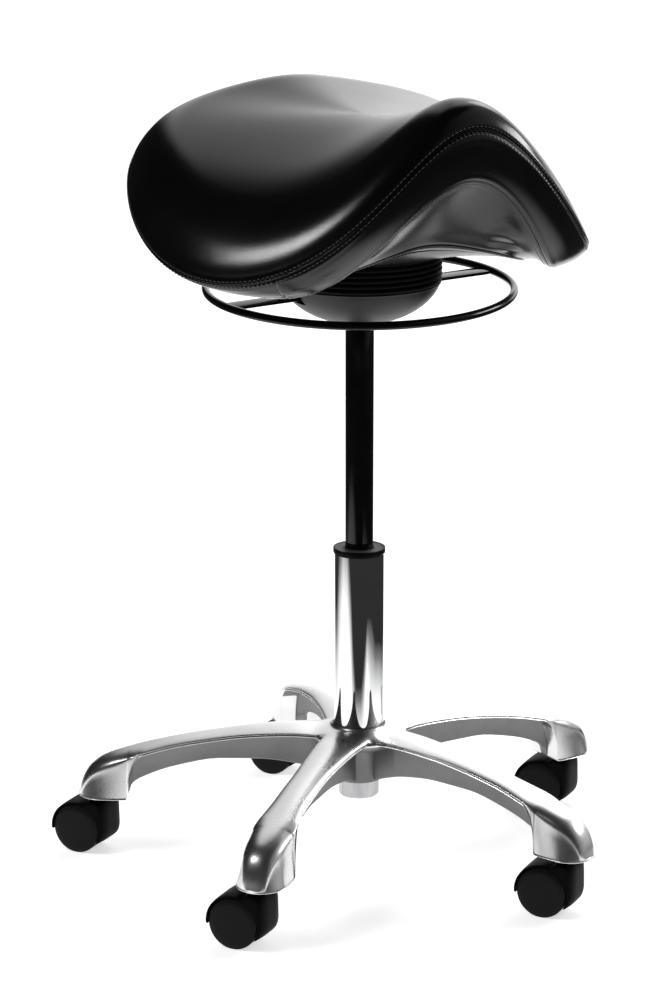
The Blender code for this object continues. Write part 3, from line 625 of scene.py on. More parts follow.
hub = [(0.0, 0.0840), (0.0240, 0.0840), (0.0245, 0.0845), (0.0245, 0.1160), (0.0252, 0.1182), (0.0280, 0.1196),
       (0.0400, 0.1220), (0.0460, 0.1262), (0.0476, 0.1288), (0.0480, 0.1305), (0.0476, 0.1322), (0.0468, 0.1330)]
hub += [(r, hub_height(r)) for r in (0.045, 0.042, 0.039, 0.036, 0.033, 0.031, 0.029, 0.0275, 0.0266)]
hub += [(0.0258, 0.1418), (0.0, 0.1418)]
base = revolve("star_base_looks", hub, 160, False, (), on_col())
for az in ARM_AZ:
    boolean(base, star_arm(az), "UNION")
boolean(base, revolve("tool", [(0.0, 0.070), (0.0209, 0.070), (0.0209, 0.084), (0.0253, 0.1405), (0.0254, 0.16),
                               (0.0, 0.16)], 96, False, (), on_col()), "DIFFERENCE")
for az in ARM_AZ:
    p = COL + Vector((STEM_R * math.cos(rad(az)), STEM_R * math.sin(rad(az)), 0))
    boolean(base, revolve("tool", [(0.0, 0.05), (0.0056, 0.05), (0.0056, 0.09), (0.0, 0.09)], 32, False, (), shift(p)),
            "DIFFERENCE")
me = base.data
bm = bmesh.new()
bm.from_mesh(me)
bm.normal_update()
for v in bm.verts:
    x, y = v.co.x - CX, v.co.y - CY
    r = math.hypot(x, y)
    if 0.0262 < r < 0.085 and v.normal.z > 0.25 and v.co.z > 0.128:
        hs = sorted([arm_height(x, y, az) for az in ARM_AZ] + [hub_height(r)], reverse=True)
        h = hs[0]
        for o in hs[1:3]:
            h = soft_max(h, o, 0.0035)
        fade = min(max((r - 0.0262) / 0.003, 0), 1)
        v.co.z += (h - hs[0]) * fade
bm.to_mesh(me)
bm.free()
base.data.materials.clear()
base.data.materials.append(M_ALU)
base.data.materials.append(M_CAST)
smooth_by_angle(base, 38)
# the cast web, the undersides and the lower hub are left unpolished
for f in base.data.polygons:
    c = f.center
    x, y = c.x - CX, c.y - CY
    r = math.hypot(x, y)
    rough = False
    if r < 0.0262:
        rough = c.z < 0.142
    elif f.normal.z < -0.5:
        rough = True
    else:
        for az in ARM_AZ:
            a = x * math.cos(rad(az)) + y * math.sin(rad(az))
            t = abs(-x * math.sin(rad(az)) + y * math.cos(rad(az)))
            if a > 0.02 and t < 0.0095 and a < 0.2332:
                w, zt, ze, zb = arm_numbers(a)
                if c.z < ze - 0.0002 and t < 0.0066:
                    rough = True
        if c.z < 0.1262 and r < 0.0478 and c.z < 0.125:
            rough = rough or c.z < 0.1255
    f.material_index = 1 if rough else 0
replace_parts(base, "star_base")
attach(base, "base")

# ------------------------------------------------------------------ column
tube = [(0.0065, 0.0655), (0.0186, 0.0655), (0.0205, 0.0674), (0.0205, 0.0840), (0.0249, 0.1405), (0.0250, 0.1450),
        (0.0250, 0.3167), (0.0245, 0.3172), (0.0235, 0.3172), (0.0234, 0.1405), (0.0190, 0.0840), (0.0190, 0.0685),
        (0.0065, 0.0685)]
tube = tube[:1] + round_profile(tube[:4], 0.0015, 4, False)[1:-1] + tube[3:]
ob = revolve("outer_tube_looks", tube, 128, True, (), on_col(), 30)
for k in range(8):
    q = rad(45 * k + 9)
    boolean(ob, revolve("tool", [(0.0013, -0.0035), (0.0013, 0.0035)], 16, False, (),
                        on_col(Matrix.Rotation(q, 4, "Z") @ shift((0.0200, 0, 0.0655)) @ ALONG_X)), "DIFFERENCE")
ob.data.materials.clear()
ob.data.materials.append(M_CHROME)
ob.data.materials.append(M_END)
smooth_by_angle(ob, 30)
# a third slot with the dark steel colour: painted shade inside the eight notches at the tube's foot
ob.data.materials.append(M_DARKSTEEL_AND_NOTCH_SHADE)
for f in ob.data.polygons:
    x, y = f.center.x - CX, f.center.y - CY
    q = (math.degrees(math.atan2(y, x)) - 9 + 22.5) % 45 - 22.5
    f.material_index = 1 if f.center.z < 0.0842 and math.hypot(x, y) > 0.0160 else 0
    # the faces inside the notches take the dark colour: painted shade in the notches
    if f.center.z < 0.0669 and abs(rad(q) * 0.02) < 0.0014 and abs(f.normal.z) < 0.999 and math.hypot(x, y) < 0.0203:
        f.material_index = 2
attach(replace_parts(ob, "outer_tube"), "base")

collar = round_profile([(0.0143, 0.2620), (0.0231, 0.2620), (0.0231, 0.3175), (0.0258, 0.3175), (0.0258, 0.3226),
                        (0.0236, 0.3226), (0.0232, 0.3222), (0.0160, 0.3222), (0.0157, 0.3228), (0.0143, 0.3228)],
                       0.0005, 2)
ob = revolve("guide_bush_looks", collar, 96, True, (M_BLACKPLASTIC, M_COLLAR), on_col(), 30)
for f in ob.data.polygons:
    r = math.hypot(f.center.x - CX, f.center.y - CY)
    if f.normal.z > 0.8 and 0.015 < r < 0.0240:
        f.material_index = 1
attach(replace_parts(ob, "guide_bush"), "base")

gas = round_profile([(0.0, 0.5000), (0.0125, 0.5000), (0.0125, 0.2760), (0.0140, 0.2760), (0.0140, 0.5700),
                     (0.0034, 0.5700), (0.0034, 0.5330), (0.0, 0.5330)], 0.0004, 2, False)
ob = revolve("gas_cylinder_looks", gas, 96, False, (M_BLACKSTEEL,), on_col(), 30)
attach(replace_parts(ob, "gas_cylinder"), "head")

# ------------------------------------------------------------------ bowl
outer = [(BOWL_A * math.sin(rad(t)), BOWL_CZ - BOWL_B * math.cos(rad(t))) for t in np.linspace(12.3, 76.2, 26)]
rim = outer[-1]
outer += [(rim[0] + 0.0004, rim[1] + 0.0004), (rim[0] + 0.0006, BOWL_RIM - 0.0006), (rim[0] + 0.0003, BOWL_RIM)]
inner = [((BOWL_A - 0.0025) * math.sin(rad(t)), BOWL_CZ - (BOWL_B - 0.0025) * math.cos(rad(t)))
         for t in np.linspace(76.3, 14.5, 18)]
prof = outer + inner + [(inner[-1][0], 0.5717), (outer[0][0], 0.5717)]
ob = revolve("bowl_looks", prof, 128, True, (M_BOWL,), on_col(), 35)
for sx in (-1, 1):
    x0, x1 = sorted((CX + sx * 0.060, CX + sx * 0.090))
    win = loft("tool", [[(x0, CY - 0.0125, 0.5737), (x0, CY + 0.0125, 0.5737), (x0, CY + 0.0125, 0.5857),
                         (x0, CY - 0.0125, 0.5857)],
                        [(x1, CY - 0.0125, 0.5737), (x1, CY + 0.0125, 0.5737), (x1, CY + 0.0125, 0.5857),
                         (x1, CY - 0.0125, 0.5857)]])
    boolean(ob, win, "DIFFERENCE")
smooth_by_angle(ob, 32)
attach(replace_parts(ob, "bowl_housing"), "head")

# ------------------------------------------------------------------ bellows, in two halves that meet on the cross
z0, z1, PLEATS = BOWL_RIM + 0.0003, BELLOWS_TOP, 6
zm = z0 + (z1 - z0) * 0.5


def bellows_wall(a, b):
    zs = np.linspace(a, b, 50)
    out = []
    for z in zs:
        ph = (z - z0) / (z1 - z0) * PLEATS
        w = abs(math.sin(math.pi * ph))
        out.append((0.0770 + 0.0027 * w ** 0.6, z))
    return [(0.0757, a)] + out + [(0.0757, b)]


low = revolve("bellows_low", bellows_wall(z0, zm), 112, True, (M_BELLOWS,), on_col(), 60)
high = revolve("bellows_high", bellows_wall(zm, z1), 112, True, (M_BELLOWS,), on_col(), 60)
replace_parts(low, "bellows")
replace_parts(high, "bellows")
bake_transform(low)
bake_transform(high)

# ------------------------------------------------------------------ height ring
tilt = Matrix.Identity(4)
tilt[2][0], tilt[2][1] = TILT_Y, TILT_X


def ring_plane(z):
    return on_col(shift((0, 0, z)) @ tilt)


rows = []
for i in range(200):
    a = 2 * math.pi * i / 200
    rows.append([ring_plane(RING_Z) @ Vector(((RING_R + RING_ROD * math.cos(b)) * math.cos(a),
                                             (RING_R + RING_ROD * math.cos(b)) * math.sin(a),
                                             RING_ROD * math.sin(b)))
                 for b in np.linspace(0, 2 * math.pi, 20, endpoint=False)])
ring = grid("height_ring_looks", rows, (M_BLACKSTEEL,), True, None, None, True)


def rounded_bar():
    pts = []
    for a in np.linspace(-90, 90, 13):
        pts.append((0.1400 + 0.0100 * math.cos(rad(a)), 0.0100 * math.sin(rad(a))))
    pts += [(0.0135, 0.0100), (0.0135, 0.0250), (-0.0135, 0.0250), (-0.0135, 0.0100)]
    for a in np.linspace(90, 270, 13):
        pts.append((-0.1400 + 0.0100 * math.cos(rad(a)), 0.0100 * math.sin(rad(a))))
    return pts


out2 = rounded_bar()
bar = loft("tool", [[(x, y, -0.0015) for x, y in out2], [(x, y, 0.0015) for x, y in out2]], m=ring_plane(LEVER_Z))
bar = bevel(bar, 0.0004, 2, 50)
boolean(ring, bar, "UNION")
axis_m = shift((CX, CY + LEVER_Y, LEVER_Z)) @ ALONG_X
boolean(ring, revolve("tool", [(0.0052, -0.0135), (0.0052, 0.0135)], 40, False, (), axis_m), "UNION")
boolean(ring, revolve("tool", [(0.0034, -0.03), (0.0034, 0.03)], 32, False, (), axis_m), "DIFFERENCE")
ring.data.materials.clear()
ring.data.materials.append(M_BLACKSTEEL)
smooth_by_angle(ring, 35)
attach(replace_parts(ring, "height_ring"), "lever")


# ------------------------------------------------------------------ saddle seat
def ser(c, a):
    s = c[0] * np.ones_like(a)
    for k in range(1, len(c)):
        s = s + (c[k] * np.sin(k * a) * (1 if k % 4 == 1 else -1) if k % 2
                 else c[k] * np.cos(k * a) * (1 if k % 4 == 0 else -1))
    return s


def seat_numbers(n):
    a = np.linspace(0, 2 * math.pi, n, endpoint=False)
    return a, {k: ser(c, a) for k, c in dict(R=S_R, Z=S_Z, ev=S_EV, eh=S_EH, bi=S_BI, bh=S_BH, rb=S_RB, zb=S_ZB).items()}


def top_row(a, d, rho):
    u = np.clip((rho - (1 - d["eh"] / d["R"])) / (d["eh"] / d["R"]), 0, 1)
    z = S_ZC + (d["Z"] + d["ev"] - S_ZC) * rho ** S_POW - d["ev"] * (1 - np.sqrt(np.maximum(1 - u * u, 0)))
    return d["R"] * rho, z


def band_row(a, d, t):
    nb = np.hypot(d["bi"], d["bh"])
    g = 0.0070 * np.minimum(nb / 0.045, 1) * 4 * t * (1 - t)
    r = d["R"] - d["bi"] * t + g * d["bh"] / nb
    z = d["Z"] - d["bh"] * t - g * d["bi"] / nb
    return r, z


def panel_row(a, d, t):
    r2, z2 = d["R"] - d["bi"], d["Z"] - d["bh"]
    dr, dz = d["rb"] - r2, d["zb"] - z2
    n = np.hypot(dr, dz)
    g = 0.0030 * 4 * t * (1 - t)
    return r2 + dr * t + g * (-dz) / n * -1, z2 + dz * t + g * dr / n * -1


def spaced(lo, hi, n, ends):
    # n values between lo and hi, closer together at the named ends
    t = np.linspace(0, 1, n)
    if ends == "both":
        t = 0.5 - 0.5 * np.cos(math.pi * t)
    elif ends == "end":
        t = np.sin(math.pi / 2 * t)
    elif ends == "start":
        t = 1 - np.cos(math.pi / 2 * t)
    return lo + (hi - lo) * t


def under_surface(n, trim=0.0):
    a, d = seat_numbers(n)
    dx, dy = np.cos(a), np.sin(a)
    bx, by = d["rb"] * dx, YC + d["rb"] * dy
    sx, sy = UNDER_R * dx, UNDER_R * dy
    k_last = 1.0 - (0.0080 + trim) / np.hypot(bx - sx, by - sy)
    return a, d, bx, by, sx, sy, k_last


NTH = 360
A, D = seat_numbers(NTH)
cosA, sinA = np.cos(A), np.sin(A)


def pts(r, z):
    return np.stack([CX + r * cosA, CY + YC + r * sinA, z], 1)


profile = []          # (kind, points)
for t in np.concatenate([np.linspace(0.03, 0.80, 30), np.linspace(0.815, 0.985, 16)]):
    profile.append(("top", pts(*top_row(A, D, 1 - (1 - t) ** 1.6))))
for rho in (0.9988, 0.99945, 0.9998, 0.99995):
    profile.append(("top", pts(*top_row(A, D, rho))))
profile.append(("seam1", pts(*top_row(A, D, 1.0))))
for t in spaced(0.0, 1.0, 26, "both")[1:-1]:
    profile.append(("band", pts(*band_row(A, D, t))))
profile.append(("seam2", pts(*band_row(A, D, 1.0))))
for t in spaced(0.0, 1.0, 30, "both")[1:-1]:
    profile.append(("panel", pts(*panel_row(A, D, t))))
profile.append(("border", pts(*panel_row(A, D, 1.0))))
kinds = [k for k, _ in profile]
P = np.array([p for _, p in profile])           # rows, columns, 3
i1, i2, i3 = kinds.index("seam1"), kinds.index("seam2"), kinds.index("border")


def relax_equal(P, i0, i1_, keep_ends=True):
    # evens out the spacing of the rows i0..i1_ along each column, denser at both ends
    seg = P[i0:i1_ + 1]
    n = len(seg)
    d = np.linalg.norm(np.diff(seg, axis=0), axis=2)
    s = np.concatenate([np.zeros((1, seg.shape[1])), np.cumsum(d, 0)])
    t = 0.5 - 0.5 * np.cos(math.pi * np.linspace(0, 1, n))
    t = 0.35 * np.linspace(0, 1, n) + 0.65 * t
    out = np.empty_like(seg)
    for k in range(seg.shape[1]):
        L = s[-1, k]
        for c in range(3):
            out[:, k, c] = np.interp(t * L, s[:, k], seg[:, k, c])
    P[i0:i1_ + 1] = out
    return P


# the top rows near the rolled edge are spread by length, so the groove beside the seam is well sampled
j0 = i1 - 19
seg = P[j0:i1 + 1].copy()
dd = np.linalg.norm(np.diff(seg, axis=0), axis=2)
ss = np.concatenate([np.zeros((1, NTH)), np.cumsum(dd, 0)])
fine = []
for t in np.linspace(0, 1, 20):
    fine.append(1 - (1 - t) ** 1.7)
for k in range(NTH):
    L = ss[-1, k]
    for c in range(3):
        P[j0:i1 + 1, k, c] = np.interp(np.array(fine) * L, ss[:, k], seg[:, k, c])
relax_equal(P, i1, i2)
relax_equal(P, i2, i3)


def row_normals(P):
    du = np.roll(P, -1, 1) - np.roll(P, 1, 1)
    dv = np.empty_like(P)
    dv[1:-1] = P[2:] - P[:-2]
    dv[0], dv[-1] = P[1] - P[0], P[-1] - P[-2]
    n = np.cross(du, dv)
    n /= np.linalg.norm(n, axis=2)[..., None] + 1e-12
    c = np.array([CX, CY + YC, 0.70])
    flip = np.sum(n[5] * (P[5] - c)) < 0
    return -n if flip else n


def arc_from(P, i):
    d = np.linalg.norm(np.diff(P, axis=0), axis=2)
    s = np.concatenate([np.zeros((1, P.shape[1])), np.cumsum(d, 0)])
    return s - s[i]


def simulate(P):
    """Blows the padded form up a little with a cloth pass and returns how far each grid point moves."""
    step = 5
    cols = np.arange(0, NTH, step)
    ridx = list(range(0, i1, 3)) + [i1] + list(range(i1 + 4, i2, 5)) + [i2] + list(range(i2 + 5, i3, 6)) + [i3]
    rows_ = [P[i][cols] for i in ridx]
    centre = (CX, CY + YC, float(P[0, :, 2].mean()))
    bottom = (CX, CY + YC, float(P[i3, :, 2].mean()) - 0.005)
    body = grid("seat_sim", rows_, (), True, centre, bottom)
    rm = body.modifiers.new("remesh", "REMESH")
    rm.mode = "VOXEL"
    rm.voxel_size = 0.0060
    apply_mods(body)
    start = np.array([v.co for v in body.data.vertices])
    cl = body.modifiers.new("cloth", "CLOTH")
    st = cl.settings
    st.quality = 5
    st.mass = 0.3
    st.tension_stiffness = 15
    st.compression_stiffness = 15
    st.shear_stiffness = 5
    st.bending_stiffness = 0.8
    st.use_pressure = True
    st.uniform_pressure_force = 4.0
    st.effector_weights.gravity = 0.0
    cl.collision_settings.use_collision = False
    cl.collision_settings.use_self_collision = False
    vg = body.vertex_groups.new(name="pin")
    ring1 = P[i3][cols]
    kd = KDTree(len(ring1))
    for i, q in enumerate(ring1):
        kd.insert(q, i)
    kd.balance()
    pinned = [i for i, q in enumerate(start) if kd.find(q)[2] < 0.012 or q[2] < float(P[i3, :, 2].min()) + 0.002]
    vg.add(pinned, 1.0, "REPLACE")
    st.vertex_group_mass = "pin"
    sc = bpy.context.scene
    for f in range(1, 21):
        sc.frame_set(f)
    dg = bpy.context.evaluated_depsgraph_get()
    ev = body.evaluated_get(dg)
    moved = np.array([v.co for v in ev.data.vertices])
    sc.frame_set(1)
    body.modifiers.clear()
    disp = moved - start
    L = np.linalg.norm(disp, axis=1)
    cap = 0.010
    disp *= (np.minimum(L, cap) / np.maximum(L, 1e-9))[:, None]
    tree = KDTree(len(start))
    for i, q in enumerate(start):
        tree.insert(q, i)
    tree.balance()
    out = np.zeros_like(P)
    for i in range(0, P.shape[0]):
        for k in range(0, NTH, 3):
            found = tree.find_n(P[i, k], 10)
            w = np.array([1 / (f[2] + 0.002) for f in found])
            out[i, k] = (np.array([disp[f[1]] for f in found]) * w[:, None]).sum(0) / w.sum()
    ks = np.arange(NTH)
    for i in range(P.shape[0]):
        for c in range(3):
            out[i, :, c] = np.interp(ks, list(range(0, NTH, 3)) + [NTH], list(out[i, ::3, c]) + [out[i, 0, c]])
    bpy.data.objects.remove(body, do_unlink=True)
    return out


move = simulate(P)
N = row_normals(P)
along = np.sum(move * N, axis=2)
k_ = np.fft.rfftfreq(NTH, 1.0 / NTH)
along = np.fft.irfft(np.fft.rfft(along, axis=1) * np.exp(-(k_ / 5.0) ** 2)[None, :], NTH, axis=1)
for _ in range(160):
    along[1:-1] = (along[:-2] + along[2:] + 2 * along[1:-1]) / 4
along -= np.median(along[:i1])          # the pad keeps its overall size
s1_, s2_, s3_ = np.abs(arc_from(P, i1)), np.abs(arc_from(P, i2)), np.abs(arc_from(P, i3))
hold = np.minimum.reduce([np.clip(s1_ / 0.03, 0, 1), np.clip(s2_ / 0.02, 0, 1), np.clip(s3_ / 0.02, 0, 1)])
hold = hold * hold * (3 - 2 * hold)
centre_fade = np.clip(np.arange(P.shape[0]) / 14.0, 0, 1)[:, None]
P = P + N * (0.0009 * np.tanh(along / 0.0018) * hold * centre_fade)[..., None]

N = row_normals(P)
s1, s2, s3 = arc_from(P, i1), arc_from(P, i2), arc_from(P, i3)
length1 = np.linalg.norm(np.roll(P[i1], -1, 0) - P[i1], axis=1)
arc1 = np.concatenate([[0], np.cumsum(length1)[:-1]])
total1 = float(length1.sum())

off = np.zeros(P.shape[:2])
off += -0.0013 * np.exp(-(s1 / 0.0011) ** 2)                    # the sewn line
off += 0.0006 * (np.exp(-((np.abs(s1) - 0.0060) / 0.0030) ** 2))  # soft rolls beside the stitch rows
off += -0.0012 * np.exp(-(s2 / 0.0012) ** 2)
off += 0.0007 * np.exp(-((s2 + 0.0045) / 0.0026) ** 2) * (s2 < 0)
off += -0.0010 * np.exp(-(s3 / 0.0014) ** 2)
# soft creases in the front panel, towards the right lobe
pw = np.zeros_like(off)
panel_len = s2[i3]
vv = np.clip(s2 / np.maximum(panel_len, 1e-6), 0, 1)
deg_ = np.degrees(A)[None, :] - 360.0
for th0, v0, v1, wdt, amp, lean_ in ((-55.0, 0.45, 0.97, 2.6, 0.0016, 7.0), (-59.5, 0.40, 0.90, 3.0, -0.0010, 8.0),
                                     (-64.5, 0.15, 0.75, 3.6, 0.0009, 9.0), (-71.0, 0.10, 0.70, 4.0, -0.0008, 10.0)):
    th = deg_ - th0 + lean_ * (vv - 0.6)
    span = 0.5 + 0.5 * np.cos(math.pi * np.clip((vv - (v0 + v1) / 2) / ((v1 - v0) / 2), -1, 1))
    pw += amp * np.exp(-(th / wdt) ** 2) * span
off += pw * (s2 > 0)
PS = P + N * off[..., None]

rows = [PS[i] for i in range(PS.shape[0])]
# the lower edge turns in over the border, then the pocket that holds the shell
a_, d_, bx, by, sx, sy, kl = under_surface(NTH)


def under_row(t, dz=0.0, k_last=None):
    k = kl if k_last is None else k_last
    tt = t * k
    return np.stack([CX + sx + (bx - sx) * tt, CY + sy + (by - sy) * tt, UNDER_Z + (d_["zb"] - UNDER_Z) * tt ** 1.4 + dz], 1)


edge = P[i3]
inner_edge = under_row(1.0)
rows.append(edge * 0.93 + inner_edge * 0.07 + np.array([0, 0, -0.0009]))
rows.append(edge * 0.75 + inner_edge * 0.25 + np.array([0, 0, -0.0010]))
rows.append(edge * 0.4 + inner_edge * 0.6 + np.array([0, 0, -0.0006]))
rows.append(inner_edge)
for t in (1.0, 0.8, 0.6, 0.4, 0.2, 0.0):
    rows.append(under_row(t, POCKET))
rows.append(np.stack([CX + 0.03 * cosA, CY + 0.03 * sinA, np.full(NTH, UNDER_Z + POCKET)], 1))
seat = grid("seat_cushion_looks", rows, (M_LEATHER,), True, (CX, CY + YC, S_ZC), (CX, CY, UNDER_Z + POCKET))
n_rows = len(rows)
u_attr = seat.data.attributes.new("seam_u", "FLOAT", "POINT")
v_attr = seat.data.attributes.new("seam_v", "FLOAT", "POINT")
c_attr = seat.data.attributes.new("cross_v", "FLOAT", "POINT")
uu = np.zeros(1 + n_rows * NTH + 1)
vv_ = np.full(1 + n_rows * NTH + 1, 1.0)
cc = np.full(1 + n_rows * NTH + 1, 1.0)
cyc = np.minimum(arc1, total1 - arc1)          # mirrored, so the pattern meets itself
for i in range(P.shape[0]):
    sl = slice(1 + i * NTH, 1 + (i + 1) * NTH)
    uu[sl] = cyc
    vv_[sl] = s1[i]
    if i1 < i < i2:
        for th0 in (2 * math.pi - rad(35), math.pi + rad(35)):
            dist = np.abs(A - th0) * np.hypot(P[i, :, 0] - CX, P[i, :, 1] - CY - YC)
            cc[sl] = np.minimum(cc[sl], dist)
u_attr.data.foreach_set("value", uu.astype(np.float32))
v_attr.data.foreach_set("value", vv_.astype(np.float32))
c_attr.data.foreach_set("value", cc.astype(np.float32))
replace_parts(seat, "seat_cushion")
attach(seat, "seat")


def resample(curve, step, closed=True):
    c = np.vstack([curve, curve[:1]]) if closed else curve
    d = np.linalg.norm(np.diff(c, axis=0), axis=1)
    s = np.concatenate([[0], np.cumsum(d)])
    n = int(round(s[-1] / step))
    q = np.linspace(0, s[-1], n + (0 if closed else 1), endpoint=not closed)
    return np.stack([np.interp(q, s, c[:, k]) for k in range(3)], 1)


def at_arc(target, i_from, i_to):
    # the points and normals on the finished surface at a set distance from the outer seam
    out, nn = np.zeros((NTH, 3)), np.zeros((NTH, 3))
    for k in range(NTH):
        col = s1[i_from:i_to, k]
        for c in range(3):
            out[k, c] = np.interp(target, col, PS[i_from:i_to, k, c])
            nn[k, c] = np.interp(target, col, N[i_from:i_to, k, c])
    nn /= np.linalg.norm(nn, axis=1)[:, None]
    return out, nn


def stitches(name, curve, normals, pitch, length, radius, phase=0.0, keep=None):
    # short threads that dive into the leather at both ends
    c = np.vstack([curve, curve[:1]])
    nv = np.vstack([normals, normals[:1]])
    d = np.linalg.norm(np.diff(c, axis=0), axis=1)
    s = np.concatenate([[0], np.cumsum(d)])
    n = int(s[-1] / pitch)
    pitch = s[-1] / n
    verts, faces = [], []
    SEG, RIM = 6, 6
    for i in range(n):
        mid_s = (i + phase) * pitch
        base_i = len(verts)
        qs = mid_s + length * (np.linspace(0, 1, SEG) - 0.5)
        qs = np.mod(qs, s[-1])
        pos = np.stack([np.interp(qs, s, c[:, k]) for k in range(3)], 1)
        nor = np.stack([np.interp(qs, s, nv[:, k]) for k in range(3)], 1)
        nor /= np.linalg.norm(nor, axis=1)[:, None]
        lift_ = radius * 0.75 * np.sin(math.pi * np.linspace(0.02, 0.98, SEG)) ** 0.6 - radius * 0.35
        tang = pos[-1] - pos[0]
        tang /= np.linalg.norm(tang) + 1e-12
        if keep is not None and not keep(pos[SEG // 2]):
            continue
        for q in range(SEG):
            p0 = pos[q] + nor[q] * lift_[q]
            sidev = np.cross(nor[q], tang)
            rr = radius * (0.55 if q in (0, SEG - 1) else 1.0)
            for w in range(RIM):
                b = 2 * math.pi * w / RIM
                verts.append(p0 + rr * (math.cos(b) * sidev + math.sin(b) * nor[q]))
        for q in range(SEG - 1):
            for w in range(RIM):
                w2 = (w + 1) % RIM
                faces.append((base_i + q * RIM + w, base_i + q * RIM + w2, base_i + (q + 1) * RIM + w2,
                              base_i + (q + 1) * RIM + w))
        faces.append(tuple(base_i + w for w in range(RIM))[::-1])
        faces.append(tuple(base_i + (SEG - 1) * RIM + w for w in range(RIM)))
    ob = new_object(name, verts, faces, (M_THREAD,), True, 50)
    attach(ob, "seat")
    return ob


up_pts, up_n = at_arc(-0.0036, 0, i1 + 1)
dn_pts, dn_n = at_arc(0.0036, i1, i3)
stitches("stitch_row_upper", up_pts, up_n, 0.0046, 0.0030, 0.00040)
stitches("stitch_row_lower", dn_pts, dn_n, 0.0046, 0.0030, 0.00040, 0.5)


def beside_seam2(gap):
    # a line on the panel at a set distance inside the piped seam, and its normals
    out, nn = np.zeros((NTH, 3)), np.zeros((NTH, 3))
    for k in range(NTH):
        col = s2[i2:i3 + 1, k]
        for c in range(3):
            out[k, c] = np.interp(min(gap, 0.6 * col[-1]), col, PS[i2:i3 + 1, k, c])
            nn[k, c] = np.interp(min(gap, 0.6 * col[-1]), col, N[i2:i3 + 1, k, c])
    return out, nn / np.linalg.norm(nn, axis=1)[:, None]


in_pts, in_n = beside_seam2(0.0050)
stitches("stitch_row_panel", in_pts, in_n, 0.0040, 0.0028, 0.00036)


def tube_along(name, curve, radius, mat, sides=8, lift_=None, normals=None):
    c = np.asarray(curve)
    n = len(c)
    t = np.roll(c, -1, 0) - np.roll(c, 1, 0)
    t /= np.linalg.norm(t, axis=1)[:, None]
    nn = normals if normals is not None else np.tile([0, 0, 1.0], (n, 1))
    b = np.cross(t, nn)
    b /= np.linalg.norm(b, axis=1)[:, None]
    nn = np.cross(b, t)
    c = c + (nn * lift_ if lift_ is not None else 0)
    rws = [c + radius * (math.cos(2 * math.pi * w / sides) * b + math.sin(2 * math.pi * w / sides) * nn) for w in range(sides)]
    return grid(name, rws, (mat,), True, None, None, True)


ob = tube_along("welt_outer", PS[i1], 0.0007, M_LEATHER, 8, 0.0007, N[i1])
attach(ob, "seat")
ob = tube_along("piping_inner", PS[i2], 0.0007, M_LEATHER, 8, 0.0002, N[i2])
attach(ob, "seat")
ob = tube_along("piping_border", PS[i3], 0.0012, M_LEATHER, 8, 0.0002, N[i3])
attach(ob, "seat")

# underside panel
NU = 180
a_, d_, bx, by, sx, sy, kl = under_surface(NU, 0.0006)
ua = a_
cu, su = np.cos(ua), np.sin(ua)


def urow(t, dz):
    tt = t * kl
    return np.stack([CX + sx + (bx - sx) * tt, CY + sy + (by - sy) * tt,
                     UNDER_Z + (d_["zb"] - UNDER_Z) * tt ** 1.4 + dz], 1)


rows = [urow(t, 0.0) for t in np.linspace(0, 1, 12)] + [urow(t, 0.0014) for t in np.linspace(1, 0, 12)]
rows[0] = rows[0] + np.array([0, 0, 0.0004])
ob = grid("underside_cover_looks", rows, (M_COVER,), True, None, None, True, 40)
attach(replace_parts(ob, "underside_cover"), "seat")

# ------------------------------------------------------------------ casters
u = Vector((math.cos(rad(TRAIL_AZ)), math.sin(rad(TRAIL_AZ)), 0.0))
turn = Matrix.Rotation(rad(TRAIL_AZ), 4, "Z")
hood_pts = []
for k in range(33):
    a = 184.0 - 112.0 * k / 32
    t = k / 32
    rr = 0.0276 + 0.0014 * math.sin(t * math.pi / 2)
    hood_pts.append((rr * math.cos(rad(a)), WHEEL_R + rr * math.sin(rad(a))))
tail = round_profile([hood_pts[-1], (0.0125, 0.0558), (0.0165, 0.0585), (0.0262, 0.0585), (0.0298, 0.0560),
                      (0.0315, 0.0500), (0.0320, 0.0440), (0.0321, 0.0250), (0.0314, 0.0200), (0.0300, 0.0163),
                      (0.0278, 0.0138), (0.0246, 0.0125), (0.0195, 0.0118), (0.0120, 0.0098), (-0.0050, 0.0100),
                      (-0.0170, 0.0140), (-0.0240, 0.0205)], 0.0025, 4, False)
hood_pts += tail[1:]
HOOD_HALF, HOOD_RIM, HOOD_ROUND = 0.0205, 0.0277, 0.0060


def hood_loops():
    # the outline, drawn in towards the wheel's rim at both ends of its width
    ys = [math.sin(rad(a)) for a in (17.5, 24, 30, 36, 42, 48, 54, 60, 66, 72, 77)]
    rows = [(y, 0.0) for y in ys] + [(0.984, 0.0001), (0.993, 0.0003), (1.0, 0.0007)]
    rows = [(-y, i) for y, i in rows[::-1]] + rows
    loops = []
    for y, inset in rows:
        t = min(max(abs(y) - 0.3, 0.0) / 0.7, 1.0)
        e = 1.0 - math.sqrt(1.0 - t * t)
        c = []
        for x, z in hood_pts:
            d = math.hypot(x, z - WHEEL_R)
            k = (d - min(max(d - HOOD_RIM, 0.0), HOOD_ROUND) * e) / d
            c.append((x * k, WHEEL_R + (z - WHEEL_R) * k))
        c = np.array(c)
        d = c - np.array([0.002, 0.033])
        c = c - d / np.linalg.norm(d, axis=1)[:, None] * inset
        loops.append([(x, y * HOOD_HALF, z) for x, z in c])
    return loops


